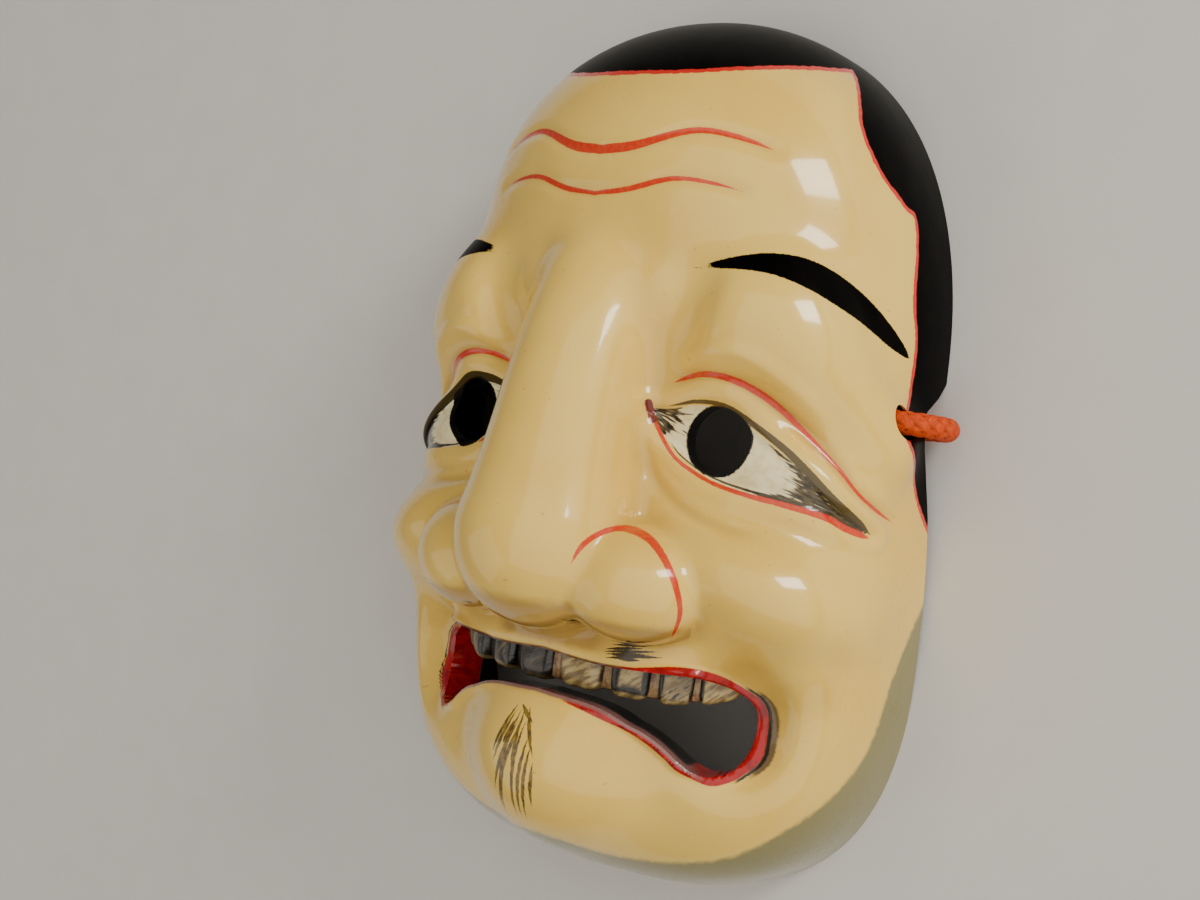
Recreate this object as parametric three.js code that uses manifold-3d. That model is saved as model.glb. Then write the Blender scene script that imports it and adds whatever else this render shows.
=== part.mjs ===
// A kagura mask of a frowning old man, carved in one piece with a wide open mouth and an upper row of
// teeth. It lies face up on its flat back rim. Two braided tie cords come out of holes at the temples,
// go round the rim and lie coiled in the hollow behind the face.
// Millimetres. X runs to the viewer's right, Y to the crown, Z out of the face, and the floor is Z = 0.
import * as THREE from 'three';
import { mergeVertices } from 'three/addons/utils/BufferGeometryUtils.js';
import Module from 'manifold-3d';

const wasm = await Module();
wasm.setup();

// Driving sizes. Heights on the face are measured from the line of the eyes.
const EYE_LINE = -4.5;            // height of that line in the part's frame, so that the rim is centred
const WALL = 8;                   // thickness of the carved shell
const ROLL_RADIUS = 66;           // radius on which widths round the face are measured
const CORD = { diameter: 6, holeHeight: 17, holeDepth: 24.5, holeDiameter: 9.6 };
const TEMPLE_BORE = [50, 90];       // where the hole for the cord starts and ends along X
const PUPIL = { x: 39.2, y: 6.1, z: 54, diameter: 16.6, turn: 10, flare: 1.35, back: 34, front: 20 };
const NOSTRIL = { from: [14, -50, 69], to: [15, -38, 62], mouth: 3.6, bottom: 2.8 };

// Rows and columns of the grid that the face is carved on, and where they crowd together.
const COLUMNS = 44;
const ROWS = 54;
const HOLLOW_COLUMNS = 18;
const HOLLOW_ROWS = 24;
const SPARSE = 0.45;
const MIDDLE_COLUMNS = 0.78;
const ROW_BANDS = [                // from the chin at -1 to the crown at 1
  { from: -0.52, to: -0.24, weight: 1.2 },
  { from: -0.24, to: -0.14, weight: 0.8 },
  { from: -0.14, to: 0.22, weight: 1.3 },
  { from: 0.3, to: 0.48, weight: 1 },
];

// The crown and the jaw are two domes that meet at the rim.
const CROWN = { centre: [0, 27, 0], size: [70.5, 93, 58], plan: 2.2, profile: 2.7 };
const JAW = { centre: [0, -34, 0], size: [73.8, 77, 51.5], plan: 2.9, profile: 3.4 };
const DOME_FILLET = 14;

// The nose from its root to its tip: height, depth and radius.
const NOSE = [[38, 54, 17.5], [18, 60.2, 18], [-3, 63.2, 19.6], [-23, 64.5, 23.1]];
const NOSE_FILLET = 10;

// Painted and carved lines: the first number runs round the face from its middle, the second is height.
const UPPER_LID = [[22, 12], [29, 12.7], [35.5, 14.2], [42, 13.9], [49, 10.3], [59, 2.2], [67, -5],
  [78, -11.3]];
const LOWER_LID = [[77.5, -11.5], [70, -9.6], [61, -7], [48, -5], [38, -1.9], [28, 5.2]];
const LID_CREASE = [[26.6, 18.6], [35, 21.4], [43, 20.9], [51, 17.5], [59, 11.9], [67, 4.2], [74, -2.8],
  [88.5, -9]];
const LID_FOLD = [[25, 23], [35, 26.5], [45, 26.5], [58, 18], [70, 7]];
const EYE_BAG = [[21, 5], [26, -4], [36, -11], [48, -14.5], [62, -16]];
const UPPER_WRINKLE = [[0, 74], [10, 75.3], [25, 80], [38, 79], [49, 76]];
const LOWER_WRINKLE = [[0, 63], [10, 64.3], [22, 67.6], [34, 67], [43, 65]];
const LIPS = [[0, -50.6], [16, -51.6], [26.6, -51.3], [33, -50.2], [39, -49.1], [45.2, -48.8],
  [51.6, -49.9], [58.7, -52.3], [63.7, -54.9], [65.6, -58.5], [66, -63.5], [65, -69], [61.8, -72.9],
  [57.7, -75.7], [52.8, -77.2], [47.8, -76.2], [43.2, -74.8], [39.5, -72.4], [34.3, -69.7], [28.5, -67.5],
  [22, -66], [10, -63.4], [0, -62.4]];
const MOUTH = [[0, -51.4], [16, -52.4], [27, -52.1], [40, -51.4], [46, -51.4], [53, -52.5], [59, -54.2],
  [62.7, -56.6], [64, -60], [64, -64], [62.8, -68], [60, -71.8], [56.5, -74], [52, -75], [48, -74.4],
  [44, -72.5], [39, -69.4], [34, -67.1], [28.5, -65.5], [22.5, -63.6], [15, -62.4], [0, -61.4]];
const MOUTH_CUT = { inwards: 30, outwards: 22, lean: 0.45 };   // it leans less than the face turns

// Each tooth of the right half, from its inner to its outer side.
const TEETH = [[1, 17.5], [19.5, 33.5], [35, 46.5], [47, 60.5]];
const TOOTH = { top: -44, bottom: -60.5, gum: -48, setBack: 9, thickness: 7, squareness: 0.55, gap: 0.2 };

// The cord's route from the knot inside the temple hole to its coil, on the right side.
const RUN = [[61.6, 17, 24.6], [66, 17, 24.6], [72.2, 17, 23.6], [76.6, 17, 19.8], [78.2, 17, 14.2],
  [76.6, 17, 8.6], [72.2, 17, 4.5], [66, 17, 3.3], [60, 17.4, 3.2], [54.5, 20, 3.2], [50.6, 24.5, 3.2],
  [48.9, 30, 3.2], [48.2, 36, 3.2], [47.9, 42, 3.2], [47.8, 48, 3.2], [47.7, 54, 3.2]];
const RUN_ROUND = { climbFrom: 9, segments: 4, steps: 28 };
const COIL = { y: 64, outer: 43.9, inner: 21.1, height: 6.1, gap: 0.3, corner: 1.5, sides: 24 };
const KNOT = { radius: 5.2, stopX: 55.9, endX: 15 };
const BALL = [8, 6];               // sides and rings of a knot and of a tooth

// The rim is cut back below each temple, so that the cords pass under it. Height along Y, depth in Z.
const RIM_CUT = [[29, 0], [25, 3.5], [21, 9], [17, 9.8], [12, 9.4], [6, 7.6], [-5, 5], [-25, 2.4],
  [-45, 0.8], [-60, 0]];
const RIM_BLOCK = { width: 200, below: 5 };

const clamp = (value, low, high) => Math.min(Math.max(value, low), high);
const radians = THREE.MathUtils.degToRad;

function smoothStep(low, high, value) {
  const t = clamp((value - low) / (high - low), 0, 1);
  return t * t * (3 - 2 * t);
}

// Join two distances with a fillet of the given size.
function blend(a, b, fillet) {
  const h = Math.max(fillet - Math.abs(a - b), 0) / fillet;
  return Math.min(a, b) - h * h * h * fillet / 6;
}

const hollowOut = (form, tool, fillet) => -blend(-form, tool, fillet);

// Distance to a dome with a rounded-square plan and profile.
function dome(p, { centre, size, plan, profile }) {
  const x = Math.abs(p.x - centre[0]) / size[0] + 1e-9;
  const y = Math.abs(p.y - centre[1]) / size[1] + 1e-9;
  const z = Math.abs(p.z - centre[2]) / size[2] + 1e-9;
  const flat = x ** plan + y ** plan;
  const whole = (flat ** (profile / plan) + z ** profile) ** (1 / profile);
  const k = whole ** (1 - profile);
  const gx = k * flat ** (profile / plan - 1) * x ** (plan - 1) / size[0];
  const gy = k * flat ** (profile / plan - 1) * y ** (plan - 1) / size[1];
  const gz = k * z ** (profile - 1) / size[2];
  return (whole - 1) / Math.hypot(gx, gy, gz);
}

// A rounded lump: its middle, half sizes and turns about X, Y and Z in degrees.
function lump(centre, size, turn = [0, 0, 0]) {
  const euler = new THREE.Euler(...turn.map(radians), 'ZYX');
  const back = new THREE.Matrix4().makeRotationFromEuler(euler).invert();
  const middle = new THREE.Vector3(...centre);
  const q = new THREE.Vector3();
  return (p) => {
    q.copy(p).sub(middle).applyMatrix4(back);
    const a = [q.x / size[0], q.y / size[1], q.z / size[2]];
    const near = Math.hypot(...a);
    const slope = Math.hypot(a[0] / size[0], a[1] / size[1], a[2] / size[2]);
    return near * (near - 1) / Math.max(slope, 1e-9);
  };
}

// A ridge with round ends, from one point and radius to another.
function ridge(from, to, fromRadius, toRadius) {
  const a = new THREE.Vector3(...from);
  const along = new THREE.Vector3(...to).sub(a);
  const length2 = along.lengthSq();
  const q = new THREE.Vector3();
  return (p) => {
    q.copy(p).sub(a);
    const t = clamp(q.dot(along) / length2, 0, 1);
    return q.addScaledVector(along, -t).length() - (fromRadius + (toRadius - fromRadius) * t);
  };
}

// A chain of ridges through heights, depths and radii on the middle plane.
function chain(stations) {
  const curve = new THREE.CatmullRomCurve3(stations.map((station) => new THREE.Vector3(...station)));
  const places = curve.getPoints(9);
  const pieces = places.slice(1).map((place, i) => {
    const before = places[i];
    return ridge([0, before.x, before.y], [0, place.x, place.y], before.z, place.z);
  });
  return (p) => Math.min(...pieces.map((piece) => piece(p)));
}

// The forms of the right half, joined or cut away in this order, each with its fillet.
const FOREHEAD = lump([0, 68, 24], [54.5, 44, 41.5]);
const CHIN = lump([0, -78, 34], [31, 26, 31]);
const MOUTH_CORNER = lump([51, -62, 46.5], [12.5, 15, 12.5], [0, 55, 0]);
const JOIN = 'join';
const CUT = 'cut';
const FORMS = [
  [JOIN, FOREHEAD, 18],
  [JOIN, lump([42, 34.5, 44], [21.5, 20, 16.7], [0, 26, -12]), 12],     // brow over the lid
  [JOIN, ridge([52, 27, 40], [64, 10, 24], 12.5, 10.5), 12],            // brow running down outside
  [JOIN, lump([18, 41, 50], [9, 10, 12]), 8],                           // frown
  [JOIN, lump([47.5, -26, 38], [26.5, 14, 21.5], [0, 30, -18]), 20],    // cheek
  [JOIN, lump([0, -52, 30], [44, 22, 29]), 14],                         // upper lip
  [JOIN, CHIN, 12],
  [CUT, ridge([33, 44, 65], [24, 14, 64.5], 5, 7), 8],                  // groove beside the nose root
  [CUT, MOUTH_CORNER, 14],
  [JOIN, lump([45, 2, 33.5], [26.5, 14, 19.7], [0, 11, -20]), 8],       // eyeball under its lids
  [JOIN, chain(NOSE), NOSE_FILLET],
  [JOIN, lump([25.5, -31, 59], [18.5, 14.5, 15.5], [0, 24, 0]), 4],     // wing of the nose
];

// How far round the face a point lies, measured on the rolling radius.
const around = (p) => ROLL_RADIUS * Math.atan2(Math.abs(p.x), Math.max(p.z, 1e-3));

// A smooth line through its points, as short straight steps.
function line(points, steps = 5) {
  const places = points.map(([a, b]) => new THREE.Vector3(a, b, 0));
  const curve = new THREE.CatmullRomCurve3(places, false, 'catmullrom');
  const list = [];
  for (let i = 0; i <= steps * (points.length - 1); i += 1) {
    const point = curve.getPoint(i / (steps * (points.length - 1)));
    list.push([point.x, point.y]);
  }
  return list;
}

// Distance from a place to a line, and how far along the line that is, from 0 to 1.
function nearest(list, w, y) {
  let best = Infinity;
  let along = 0;
  for (let i = 0; i + 1 < list.length; i += 1) {
    const [ax, ay] = list[i];
    const bx = list[i + 1][0] - ax;
    const by = list[i + 1][1] - ay;
    const t = clamp(((w - ax) * bx + (y - ay) * by) / Math.max(bx * bx + by * by, 1e-9), 0, 1);
    const d = Math.hypot(w - ax - t * bx, y - ay - t * by);
    if (d < best) {
      best = d;
      along = (i + t) / (list.length - 1);
    }
  }
  return [best, along];
}

function isInside(loop, w, y) {
  let inside = false;
  for (let i = 0; i < loop.length; i += 1) {
    const [ax, ay] = loop[i];
    const [bx, by] = loop[(i + 1) % loop.length];
    if ((ay > y) !== (by > y) && w < (bx - ax) * (y - ay) / (by - ay) + ax) {
      inside = !inside;
    }
  }
  return inside;
}

function signedDistance(loop, w, y) {
  const [d] = nearest([...loop, loop[0]], w, y);
  return isInside(loop, w, y) ? -d : d;
}

const hump = (d, width) => Math.max(1 - (d / width) ** 2, 0) ** 2;
// A line's height along its length; a start of 0 leaves that end full, where the face's middle is crossed.
const taper = (along, start, end) => (start > 0 ? smoothStep(0, start, along) : 1)
  * smoothStep(0, end, 1 - along);

// Half a loop and its mirror image, as one closed loop.
function bothHalves(half) {
  const list = line(half);
  return [...list.map(([a, b]) => [-a, b]), ...list.reverse()];
}

const EYE_OUTLINE = [...line(UPPER_LID), ...line(LOWER_LID)];
const LIP_OUTLINE = bothHalves(LIPS);
const CARVED_LINES = [
  { list: line(LID_CREASE), height: -1.3, width: 2.8, start: 0.12, end: 0.12 },
  { list: line(LID_FOLD), height: 0.9, width: 3.2, start: 0.3, end: 0.3 },
  { list: line(EYE_BAG), height: -0.9, width: 3, start: 0.25, end: 0.3 },
  { list: line(UPPER_WRINKLE), height: -0.9, width: 2.8, start: 0, end: 0.15 },
  { list: line(LOWER_WRINKLE), height: -0.8, width: 2.8, start: 0, end: 0.15 },
];
const SCLERA_DEPTH = 1.1;
const LID_HEIGHT = 0.8;
const LIP_HEIGHT = 1.6;

// Height of the fine carving: wrinkles, lids and lips.
function carving(p) {
  const w = around(p);
  let height = 0;
  if (w < 95 && p.y > -20 && p.y < 90) {
    const eye = signedDistance(EYE_OUTLINE, w, p.y);
    height -= SCLERA_DEPTH * smoothStep(0.3, -1.6, eye);
    height += LID_HEIGHT * hump(eye - 2.6, 3.2);
    for (const cut of CARVED_LINES) {
      const [d, along] = nearest(cut.list, w, p.y);
      if (d < cut.width) {
        height += cut.height * hump(d, cut.width) * taper(along, cut.start, cut.end);
      }
    }
  }
  if (w < 80 && p.y > -90 && p.y < -38) {
    const lips = signedDistance(LIP_OUTLINE, w, p.y);
    height += LIP_HEIGHT * smoothStep(0.4, -1.4, lips) * smoothStep(14, 30, w);
  }
  return height;
}

const onRightSide = (point) => new THREE.Vector3(Math.abs(point.x), point.y, point.z);

// Distance to the outside of the face, below zero inside the wood.
function face(point) {
  const p = onRightSide(point);
  let d = blend(dome(p, CROWN), dome(p, JAW), DOME_FILLET);
  for (const [kind, form, fillet] of FORMS) {
    d = kind === JOIN ? blend(d, form(p), fillet) : hollowOut(d, form(p), fillet);
  }
  return d - carving(p);
}

// The hollow follows the broad forms of the face, so the shell is thicker behind the nose and brow.
const HOLLOW_FILLETS = { forehead: 18, chin: 20, corner: 14 };
function hollow(point) {
  const p = onRightSide(point);
  let d = blend(dome(p, CROWN), dome(p, JAW), DOME_FILLET);
  d = blend(d, FOREHEAD(p), HOLLOW_FILLETS.forehead);
  d = blend(d, CHIN(p), HOLLOW_FILLETS.chin);
  d = hollowOut(d, MOUTH_CORNER(p), HOLLOW_FILLETS.corner);
  return d + WALL;
}

// A spread of lines from -1 to 1 that crowd together where the weight is high.
function crowded(count, weight) {
  const fine = 400;
  const sums = [0];
  for (let i = 0; i < fine; i += 1) {
    sums.push(sums[i] + weight(-1 + (2 * i + 1) / fine));
  }
  const list = [];
  let at = 0;
  for (let i = 0; i <= count; i += 1) {
    const goal = sums[fine] * i / count;
    while (at < fine && sums[at + 1] < goal) {
      at += 1;
    }
    const part = at >= fine ? 0 : (goal - sums[at]) / (sums[at + 1] - sums[at]);
    list.push(clamp(-1 + 2 * (at + part) / fine, -1, 1));
  }
  return list;
}

// Rays run from a line inside the mask, its spine, to a shell a little outside it.
const SHELL = { halfWidth: 72, halfHeight: 118, depth: 64, middle: 4, spine: 0.55 };

// The ray through a place of the square grid, whose edge becomes the rim.
function rayAt(u, v) {
  const x = u * Math.sqrt(1 - v * v / 2);
  const y = v * Math.sqrt(1 - u * u / 2);
  const far = Math.min(Math.hypot(x, y), 1);
  const angle = far * Math.PI / 2;
  const onRim = Math.max(Math.abs(u), Math.abs(v)) > 1 - 1e-9;
  const side = far > 1e-9 ? Math.sin(angle) / far : 0;
  const goal = new THREE.Vector3(SHELL.halfWidth * x * side, SHELL.halfHeight * y * side, 0);
  goal.z = onRim ? 0 : SHELL.depth * Math.cos(angle);
  const start = new THREE.Vector3(0, SHELL.spine * goal.y + SHELL.middle, 0);
  goal.y += SHELL.middle;
  return { start, direction: goal.sub(start) };
}

// The outermost place where a ray meets a form: coarse steps inwards, then halvings.
const SIGHT = 100;                 // length of a ray that is aimed at one place of the face
const SKIRT = 6;                   // how far the hollow's block goes on below the rim
const MARCH = { from: 1.6, to: 0.3, step: 0.09, halvings: 16 };
function meet(form, { start, direction }) {
  const at = (t) => start.clone().addScaledVector(direction, t);
  let outside = MARCH.from + MARCH.step;
  let inside = MARCH.to;
  for (let t = MARCH.from; t > MARCH.to; t -= MARCH.step) {
    if (form(at(t)) < 0) {
      inside = t;
      break;
    }
    outside = t;
  }
  for (let i = 0; i < MARCH.halvings; i += 1) {
    const t = (outside + inside) / 2;
    if (form(at(t)) < 0) {
      inside = t;
    } else {
      outside = t;
    }
  }
  return at((outside + inside) / 2);
}

// A closed body: the form over a grid of rays, closed by a flat back a little below the rim if asked.
function bodyOver(form, across, up, skirt) {
  const positions = [];
  const index = [];
  const count = { u: across.length, v: up.length };
  for (const u of across) {
    for (const v of up) {
      positions.push(...meet(form, rayAt(u, v)).toArray());
    }
  }
  const id = (i, j) => i * count.v + j;
  const place = (k) => new THREE.Vector3().fromArray(positions, 3 * k);
  for (let i = 0; i + 1 < count.u; i += 1) {
    for (let j = 0; j + 1 < count.v; j += 1) {
      const [a, b, c, d] = [id(i, j), id(i + 1, j), id(i + 1, j + 1), id(i, j + 1)];
      if (place(a).distanceTo(place(c)) < place(b).distanceTo(place(d))) {
        index.push(a, b, c, a, c, d);
      } else {
        index.push(a, b, d, b, c, d);
      }
    }
  }
  const rim = [];
  for (let i = 0; i < count.u - 1; i += 1) rim.push(id(i, 0));
  for (let j = 0; j < count.v - 1; j += 1) rim.push(id(count.u - 1, j));
  for (let i = count.u - 1; i > 0; i -= 1) rim.push(id(i, count.v - 1));
  for (let j = count.v - 1; j > 0; j -= 1) rim.push(id(0, j));
  const first = positions.length / 3;
  for (const k of rim) {
    const p = place(k);
    positions.push(p.x, p.y, -skirt);
  }
  const centre = positions.length / 3;
  positions.push(0, SHELL.middle, -skirt);
  for (let i = 0; i < rim.length; i += 1) {
    const next = (i + 1) % rim.length;
    if (skirt > 0) {
      index.push(rim[i], first + i, first + next, rim[i], first + next, rim[next]);
      index.push(first + i, centre, first + next);
    } else {
      index.push(rim[i], centre, rim[next]);
    }
  }
  const geometry = new THREE.BufferGeometry();
  geometry.setAttribute('position', new THREE.Float32BufferAttribute(positions, 3));
  geometry.setIndex(index);
  return geometry;
}

// Geometry to solid and back.
function toSolid(geometry) {
  const bare = geometry.clone();
  bare.deleteAttribute('normal');
  bare.deleteAttribute('uv');
  const merged = mergeVertices(bare, 1e-5);
  return new wasm.Manifold(new wasm.Mesh({
    numProp: 3,
    vertProperties: new Float32Array(merged.attributes.position.array),
    triVerts: new Uint32Array(merged.index.array),
  }));
}

function toGeometry(solid) {
  const mesh = solid.getMesh();
  const geometry = new THREE.BufferGeometry();
  geometry.setAttribute('position', new THREE.BufferAttribute(new Float32Array(mesh.vertProperties), 3));
  geometry.setIndex(new THREE.BufferAttribute(new Uint32Array(mesh.triVerts), 1));
  geometry.computeVertexNormals();
  return geometry;
}

// How far the face stands from the spine at a place on it.
function reachAt(w, y) {
  const angle = w / ROLL_RADIUS;
  const start = new THREE.Vector3(0, y, 0);
  const direction = new THREE.Vector3(Math.sin(angle), 0, Math.cos(angle)).multiplyScalar(SIGHT);
  return meet(face, { start, direction }).sub(start).length();
}

// The mouth is cut by a block that starts inside the hollow and ends in front of the lips.
function mouthCutter() {
  const half = line(MOUTH, 2);
  const loop = [...half.slice(1, -1).map(([a, b]) => [-a, b]), ...half.reverse()];
  const positions = [];
  for (const away of [-MOUTH_CUT.inwards, MOUTH_CUT.outwards]) {
    for (const [w, y] of loop) {
      const angle = w / ROLL_RADIUS;
      const reach = reachAt(w, y);
      const x = reach * Math.sin(angle) + away * Math.sin(angle * MOUTH_CUT.lean);
      positions.push(x, y, reach * Math.cos(angle) + away * Math.cos(angle * MOUTH_CUT.lean));
    }
  }
  const n = loop.length;
  const caps = THREE.ShapeUtils.triangulateShape(loop.map(([a, b]) => new THREE.Vector2(a, b)), []);
  const index = [];
  for (const [a, b, c] of caps) {
    const turn = (loop[b][0] - loop[a][0]) * (loop[c][1] - loop[a][1])
      - (loop[b][1] - loop[a][1]) * (loop[c][0] - loop[a][0]);
    const [q, r] = turn > 0 ? [b, c] : [c, b];
    index.push(n + a, n + q, n + r, a, r, q);
  }
  for (let i = 0; i < n; i += 1) {
    const j = (i + 1) % n;
    index.push(i, j, n + j, i, n + j, n + i);
  }
  const geometry = new THREE.BufferGeometry();
  geometry.setAttribute('position', new THREE.Float32BufferAttribute(positions, 3));
  geometry.setIndex(index);
  return geometry;
}

// A round cutter along a line, wider at its start.
function roundCutter(from, to, startRadius, endRadius, sides = 20) {
  const a = new THREE.Vector3(...from);
  const b = new THREE.Vector3(...to);
  const geometry = new THREE.CylinderGeometry(endRadius, startRadius, a.distanceTo(b), sides);
  const up = new THREE.Vector3(0, 1, 0);
  geometry.applyQuaternion(new THREE.Quaternion().setFromUnitVectors(up, b.clone().sub(a).normalize()));
  const middle = a.add(b).multiplyScalar(0.5);
  return geometry.translate(middle.x, middle.y, middle.z);
}

// A tooth is a rounded block that hangs behind the upper lip.
function tooth(side, from, to) {
  const w = (from + to) / 2;
  const reach = reachAt(w, TOOTH.gum) - TOOTH.setBack;
  const geometry = new THREE.SphereGeometry(1, ...BALL);
  const position = geometry.attributes.position;
  const square = (value) => Math.sign(value) * Math.abs(value) ** TOOTH.squareness;
  const halfWidth = (to - from) / 2 * reach / ROLL_RADIUS - TOOTH.gap;
  const halfHeight = (TOOTH.top - TOOTH.bottom) / 2;
  for (let i = 0; i < position.count; i += 1) {
    position.setXYZ(i, square(position.getX(i)) * halfWidth, square(position.getY(i)) * halfHeight,
      square(position.getZ(i)) * TOOTH.thickness / 2);
  }
  geometry.rotateY(side * w / ROLL_RADIUS);
  const angle = w / ROLL_RADIUS;
  const middle = [side * reach * Math.sin(angle), (TOOTH.top + TOOTH.bottom) / 2, reach * Math.cos(angle)];
  return geometry.translate(...middle);
}

// A block under the rim, cut to the curve that leaves room for the cords.
function rimCutter() {
  const outline = new THREE.Shape();
  outline.moveTo(RIM_CUT[0][0], -RIM_BLOCK.below);
  for (const [y, z] of RIM_CUT) {
    outline.lineTo(y, z);
  }
  outline.lineTo(RIM_CUT[RIM_CUT.length - 1][0], -RIM_BLOCK.below);
  const geometry = new THREE.ExtrudeGeometry(outline, { depth: RIM_BLOCK.width, bevelEnabled: false });
  const turn = new THREE.Matrix4().makeBasis(
    new THREE.Vector3(0, 1, 0), new THREE.Vector3(0, 0, 1), new THREE.Vector3(1, 0, 0),
  );
  return geometry.applyMatrix4(turn).translate(-RIM_BLOCK.width / 2, 0, 0);
}

function mirrored([x, y, z], side) {
  return [side * x, y, z];
}

const columnWeight = (u) => (Math.abs(u) < MIDDLE_COLUMNS ? 1 : SPARSE);

function rowWeight(v) {
  const band = ROW_BANDS.find(({ from, to }) => v > from && v < to);
  return band ? band.weight : SPARSE;
}

function carveMask() {
  const across = crowded(COLUMNS, columnWeight);
  const up = crowded(ROWS, rowWeight);
  const coarse = [crowded(HOLLOW_COLUMNS, () => 1), crowded(HOLLOW_ROWS, () => 1)];
  let mask = toSolid(bodyOver(face, across, up, 0));
  mask = mask.subtract(toSolid(bodyOver(hollow, ...coarse, SKIRT)));
  mask = mask.subtract(toSolid(mouthCutter()));
  for (const side of [-1, 1]) {
    const lean = Math.sin(radians(PUPIL.turn));
    const pupilAt = (depth) => mirrored([PUPIL.x + depth * lean, PUPIL.y, PUPIL.z + depth], side);
    const ends = [-PUPIL.back, PUPIL.front];
    const radii = ends.map((depth) => PUPIL.diameter / 2 * (1 + (1 - PUPIL.flare) * depth / PUPIL.back));
    mask = mask.subtract(toSolid(roundCutter(...ends.map(pupilAt), ...radii)));
    const nostril = [mirrored(NOSTRIL.from, side), mirrored(NOSTRIL.to, side)];
    mask = mask.subtract(toSolid(roundCutter(...nostril, NOSTRIL.mouth, NOSTRIL.bottom, 12)));
    const temple = TEMPLE_BORE.map((x) => [side * x, CORD.holeHeight, CORD.holeDepth]);
    mask = mask.subtract(toSolid(roundCutter(...temple, CORD.holeDiameter / 2, CORD.holeDiameter / 2, 12)));
    for (const [from, to] of TEETH) {
      mask = mask.add(toSolid(tooth(side, from, to)));
    }
  }
  mask = mask.subtract(toSolid(rimCutter()));
  return toGeometry(mask);
}

// The stretch of cord between the knot and the coil. The left one climbs onto the right one's coil.
function cordRun(side, lift) {
  const level = (i) => lift * smoothStep(RUN_ROUND.climbFrom, RUN.length - 1, i);
  const points = RUN.map(([x, y, z], i) => new THREE.Vector3(side * x, y, z + level(i)));
  const section = new THREE.Shape();
  section.absarc(0, 0, CORD.diameter / 2, 0, 2 * Math.PI);
  return new THREE.ExtrudeGeometry(section, {
    curveSegments: RUN_ROUND.segments,
    steps: RUN_ROUND.steps,
    bevelEnabled: false,
    extrudePath: new THREE.CatmullRomCurve3(points),
  });
}

function cordCoil(lift) {
  const { inner, outer, height, corner, sides } = COIL;
  const outline = [[inner + corner, 0], [outer - corner, 0], [outer, corner], [outer, height - corner],
    [outer - corner, height], [inner + corner, height], [inner, height - corner], [inner, corner],
    [inner + corner, 0]];
  const geometry = new THREE.LatheGeometry(outline.map(([r, z]) => new THREE.Vector2(r, z)), sides);
  return geometry.rotateX(Math.PI / 2).translate(0, COIL.y, lift);
}

const COLOURS = { lacquer: 0xdcc68c, cord: 0xe06a28 };
const ROUGHNESS = { lacquer: 0.18, cord: 0.7 };
const finish = (kind) => new THREE.MeshStandardMaterial({ color: COLOURS[kind], roughness: ROUGHNESS[kind] });

const part = new THREE.Group();
part.position.y = EYE_LINE;

function addPiece(name, geometry, material) {
  const mesh = new THREE.Mesh(geometry, material);
  mesh.name = name;
  part.add(mesh);
}

addPiece('mask', carveMask(), finish('lacquer'));
for (const [hand, side] of [['right', 1], ['left', -1]]) {
  const lift = side > 0 ? 0 : COIL.height + COIL.gap;
  const stopKnot = new THREE.SphereGeometry(KNOT.radius, ...BALL);
  const endKnot = new THREE.SphereGeometry(KNOT.radius, ...BALL);
  stopKnot.translate(side * KNOT.stopX, CORD.holeHeight, CORD.holeDepth);
  endKnot.translate(side * KNOT.endX, COIL.y, KNOT.radius);
  addPiece(`${hand}_cord_stop_knot`, stopKnot, finish('cord'));
  addPiece(`${hand}_cord_run`, cordRun(side, lift), finish('cord'));
  addPiece(`${hand}_cord_coil`, cordCoil(lift), finish('cord'));
  addPiece(`${hand}_cord_end_knot`, endKnot, finish('cord'));
}

export default part;
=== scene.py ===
"""A kagura mask of a frowning old man: its carved and painted shell, its teeth and its two tie cords.

The numbers that the solids are carved from are repeated here in millimetres, with heights measured from
the line of the eyes. Every mesh is moved into the part's frame and into metres at the end.
"""
import math

import bpy
import numpy as np
from bpy.props import FloatProperty, FloatVectorProperty, IntProperty, PointerProperty
from mathutils import Matrix, Vector


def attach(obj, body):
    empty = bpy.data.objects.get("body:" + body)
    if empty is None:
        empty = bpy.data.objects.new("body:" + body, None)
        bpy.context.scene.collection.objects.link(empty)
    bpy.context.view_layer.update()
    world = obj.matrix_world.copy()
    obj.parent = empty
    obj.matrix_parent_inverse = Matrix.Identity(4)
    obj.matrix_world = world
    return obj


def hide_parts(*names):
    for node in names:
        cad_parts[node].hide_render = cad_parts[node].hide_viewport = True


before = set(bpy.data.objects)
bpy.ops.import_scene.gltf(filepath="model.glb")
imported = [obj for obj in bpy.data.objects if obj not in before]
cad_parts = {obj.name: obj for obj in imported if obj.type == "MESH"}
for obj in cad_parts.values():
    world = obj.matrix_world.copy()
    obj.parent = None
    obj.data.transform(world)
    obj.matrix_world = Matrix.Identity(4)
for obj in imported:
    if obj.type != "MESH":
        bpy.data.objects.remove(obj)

bl_info = {
    "name": "Kagura mask",
    "version": (1, 0, 0),
    "blender": (4, 5, 0),
    "location": "View3D > Sidebar > Mask",
    "description": "Builds a painted kagura mask with its teeth and tie cords",
    "category": "Object",
}

MM = 0.001
EYE_LINE = -4.5
WALL = 8.0
ROLL_RADIUS = 66.0
CORD = {"diameter": 6.0, "height": 17.0, "depth": 24.5, "hole": 8.4, "exit": 73.0}
PUPIL = {"x": 39.2, "y": 6.1, "z": 54.0, "radius": 8.3, "turn": 10.0, "flare": 1.35, "back": 34.0, "front": 20.0}
NOSTRIL = {"start": (14, -50, 69), "end": (15, -38, 62), "mouth": 3.6, "bottom": 2.8}

# The crown and the jaw are two domes that meet at the rim.
CROWN = ((0, 27, 0), (70.5, 93, 58), 2.2, 2.7)
JAW = ((0, -34, 0), (73.8, 77, 51.5), 2.9, 3.4)
DOME_FILLET = 14

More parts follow.
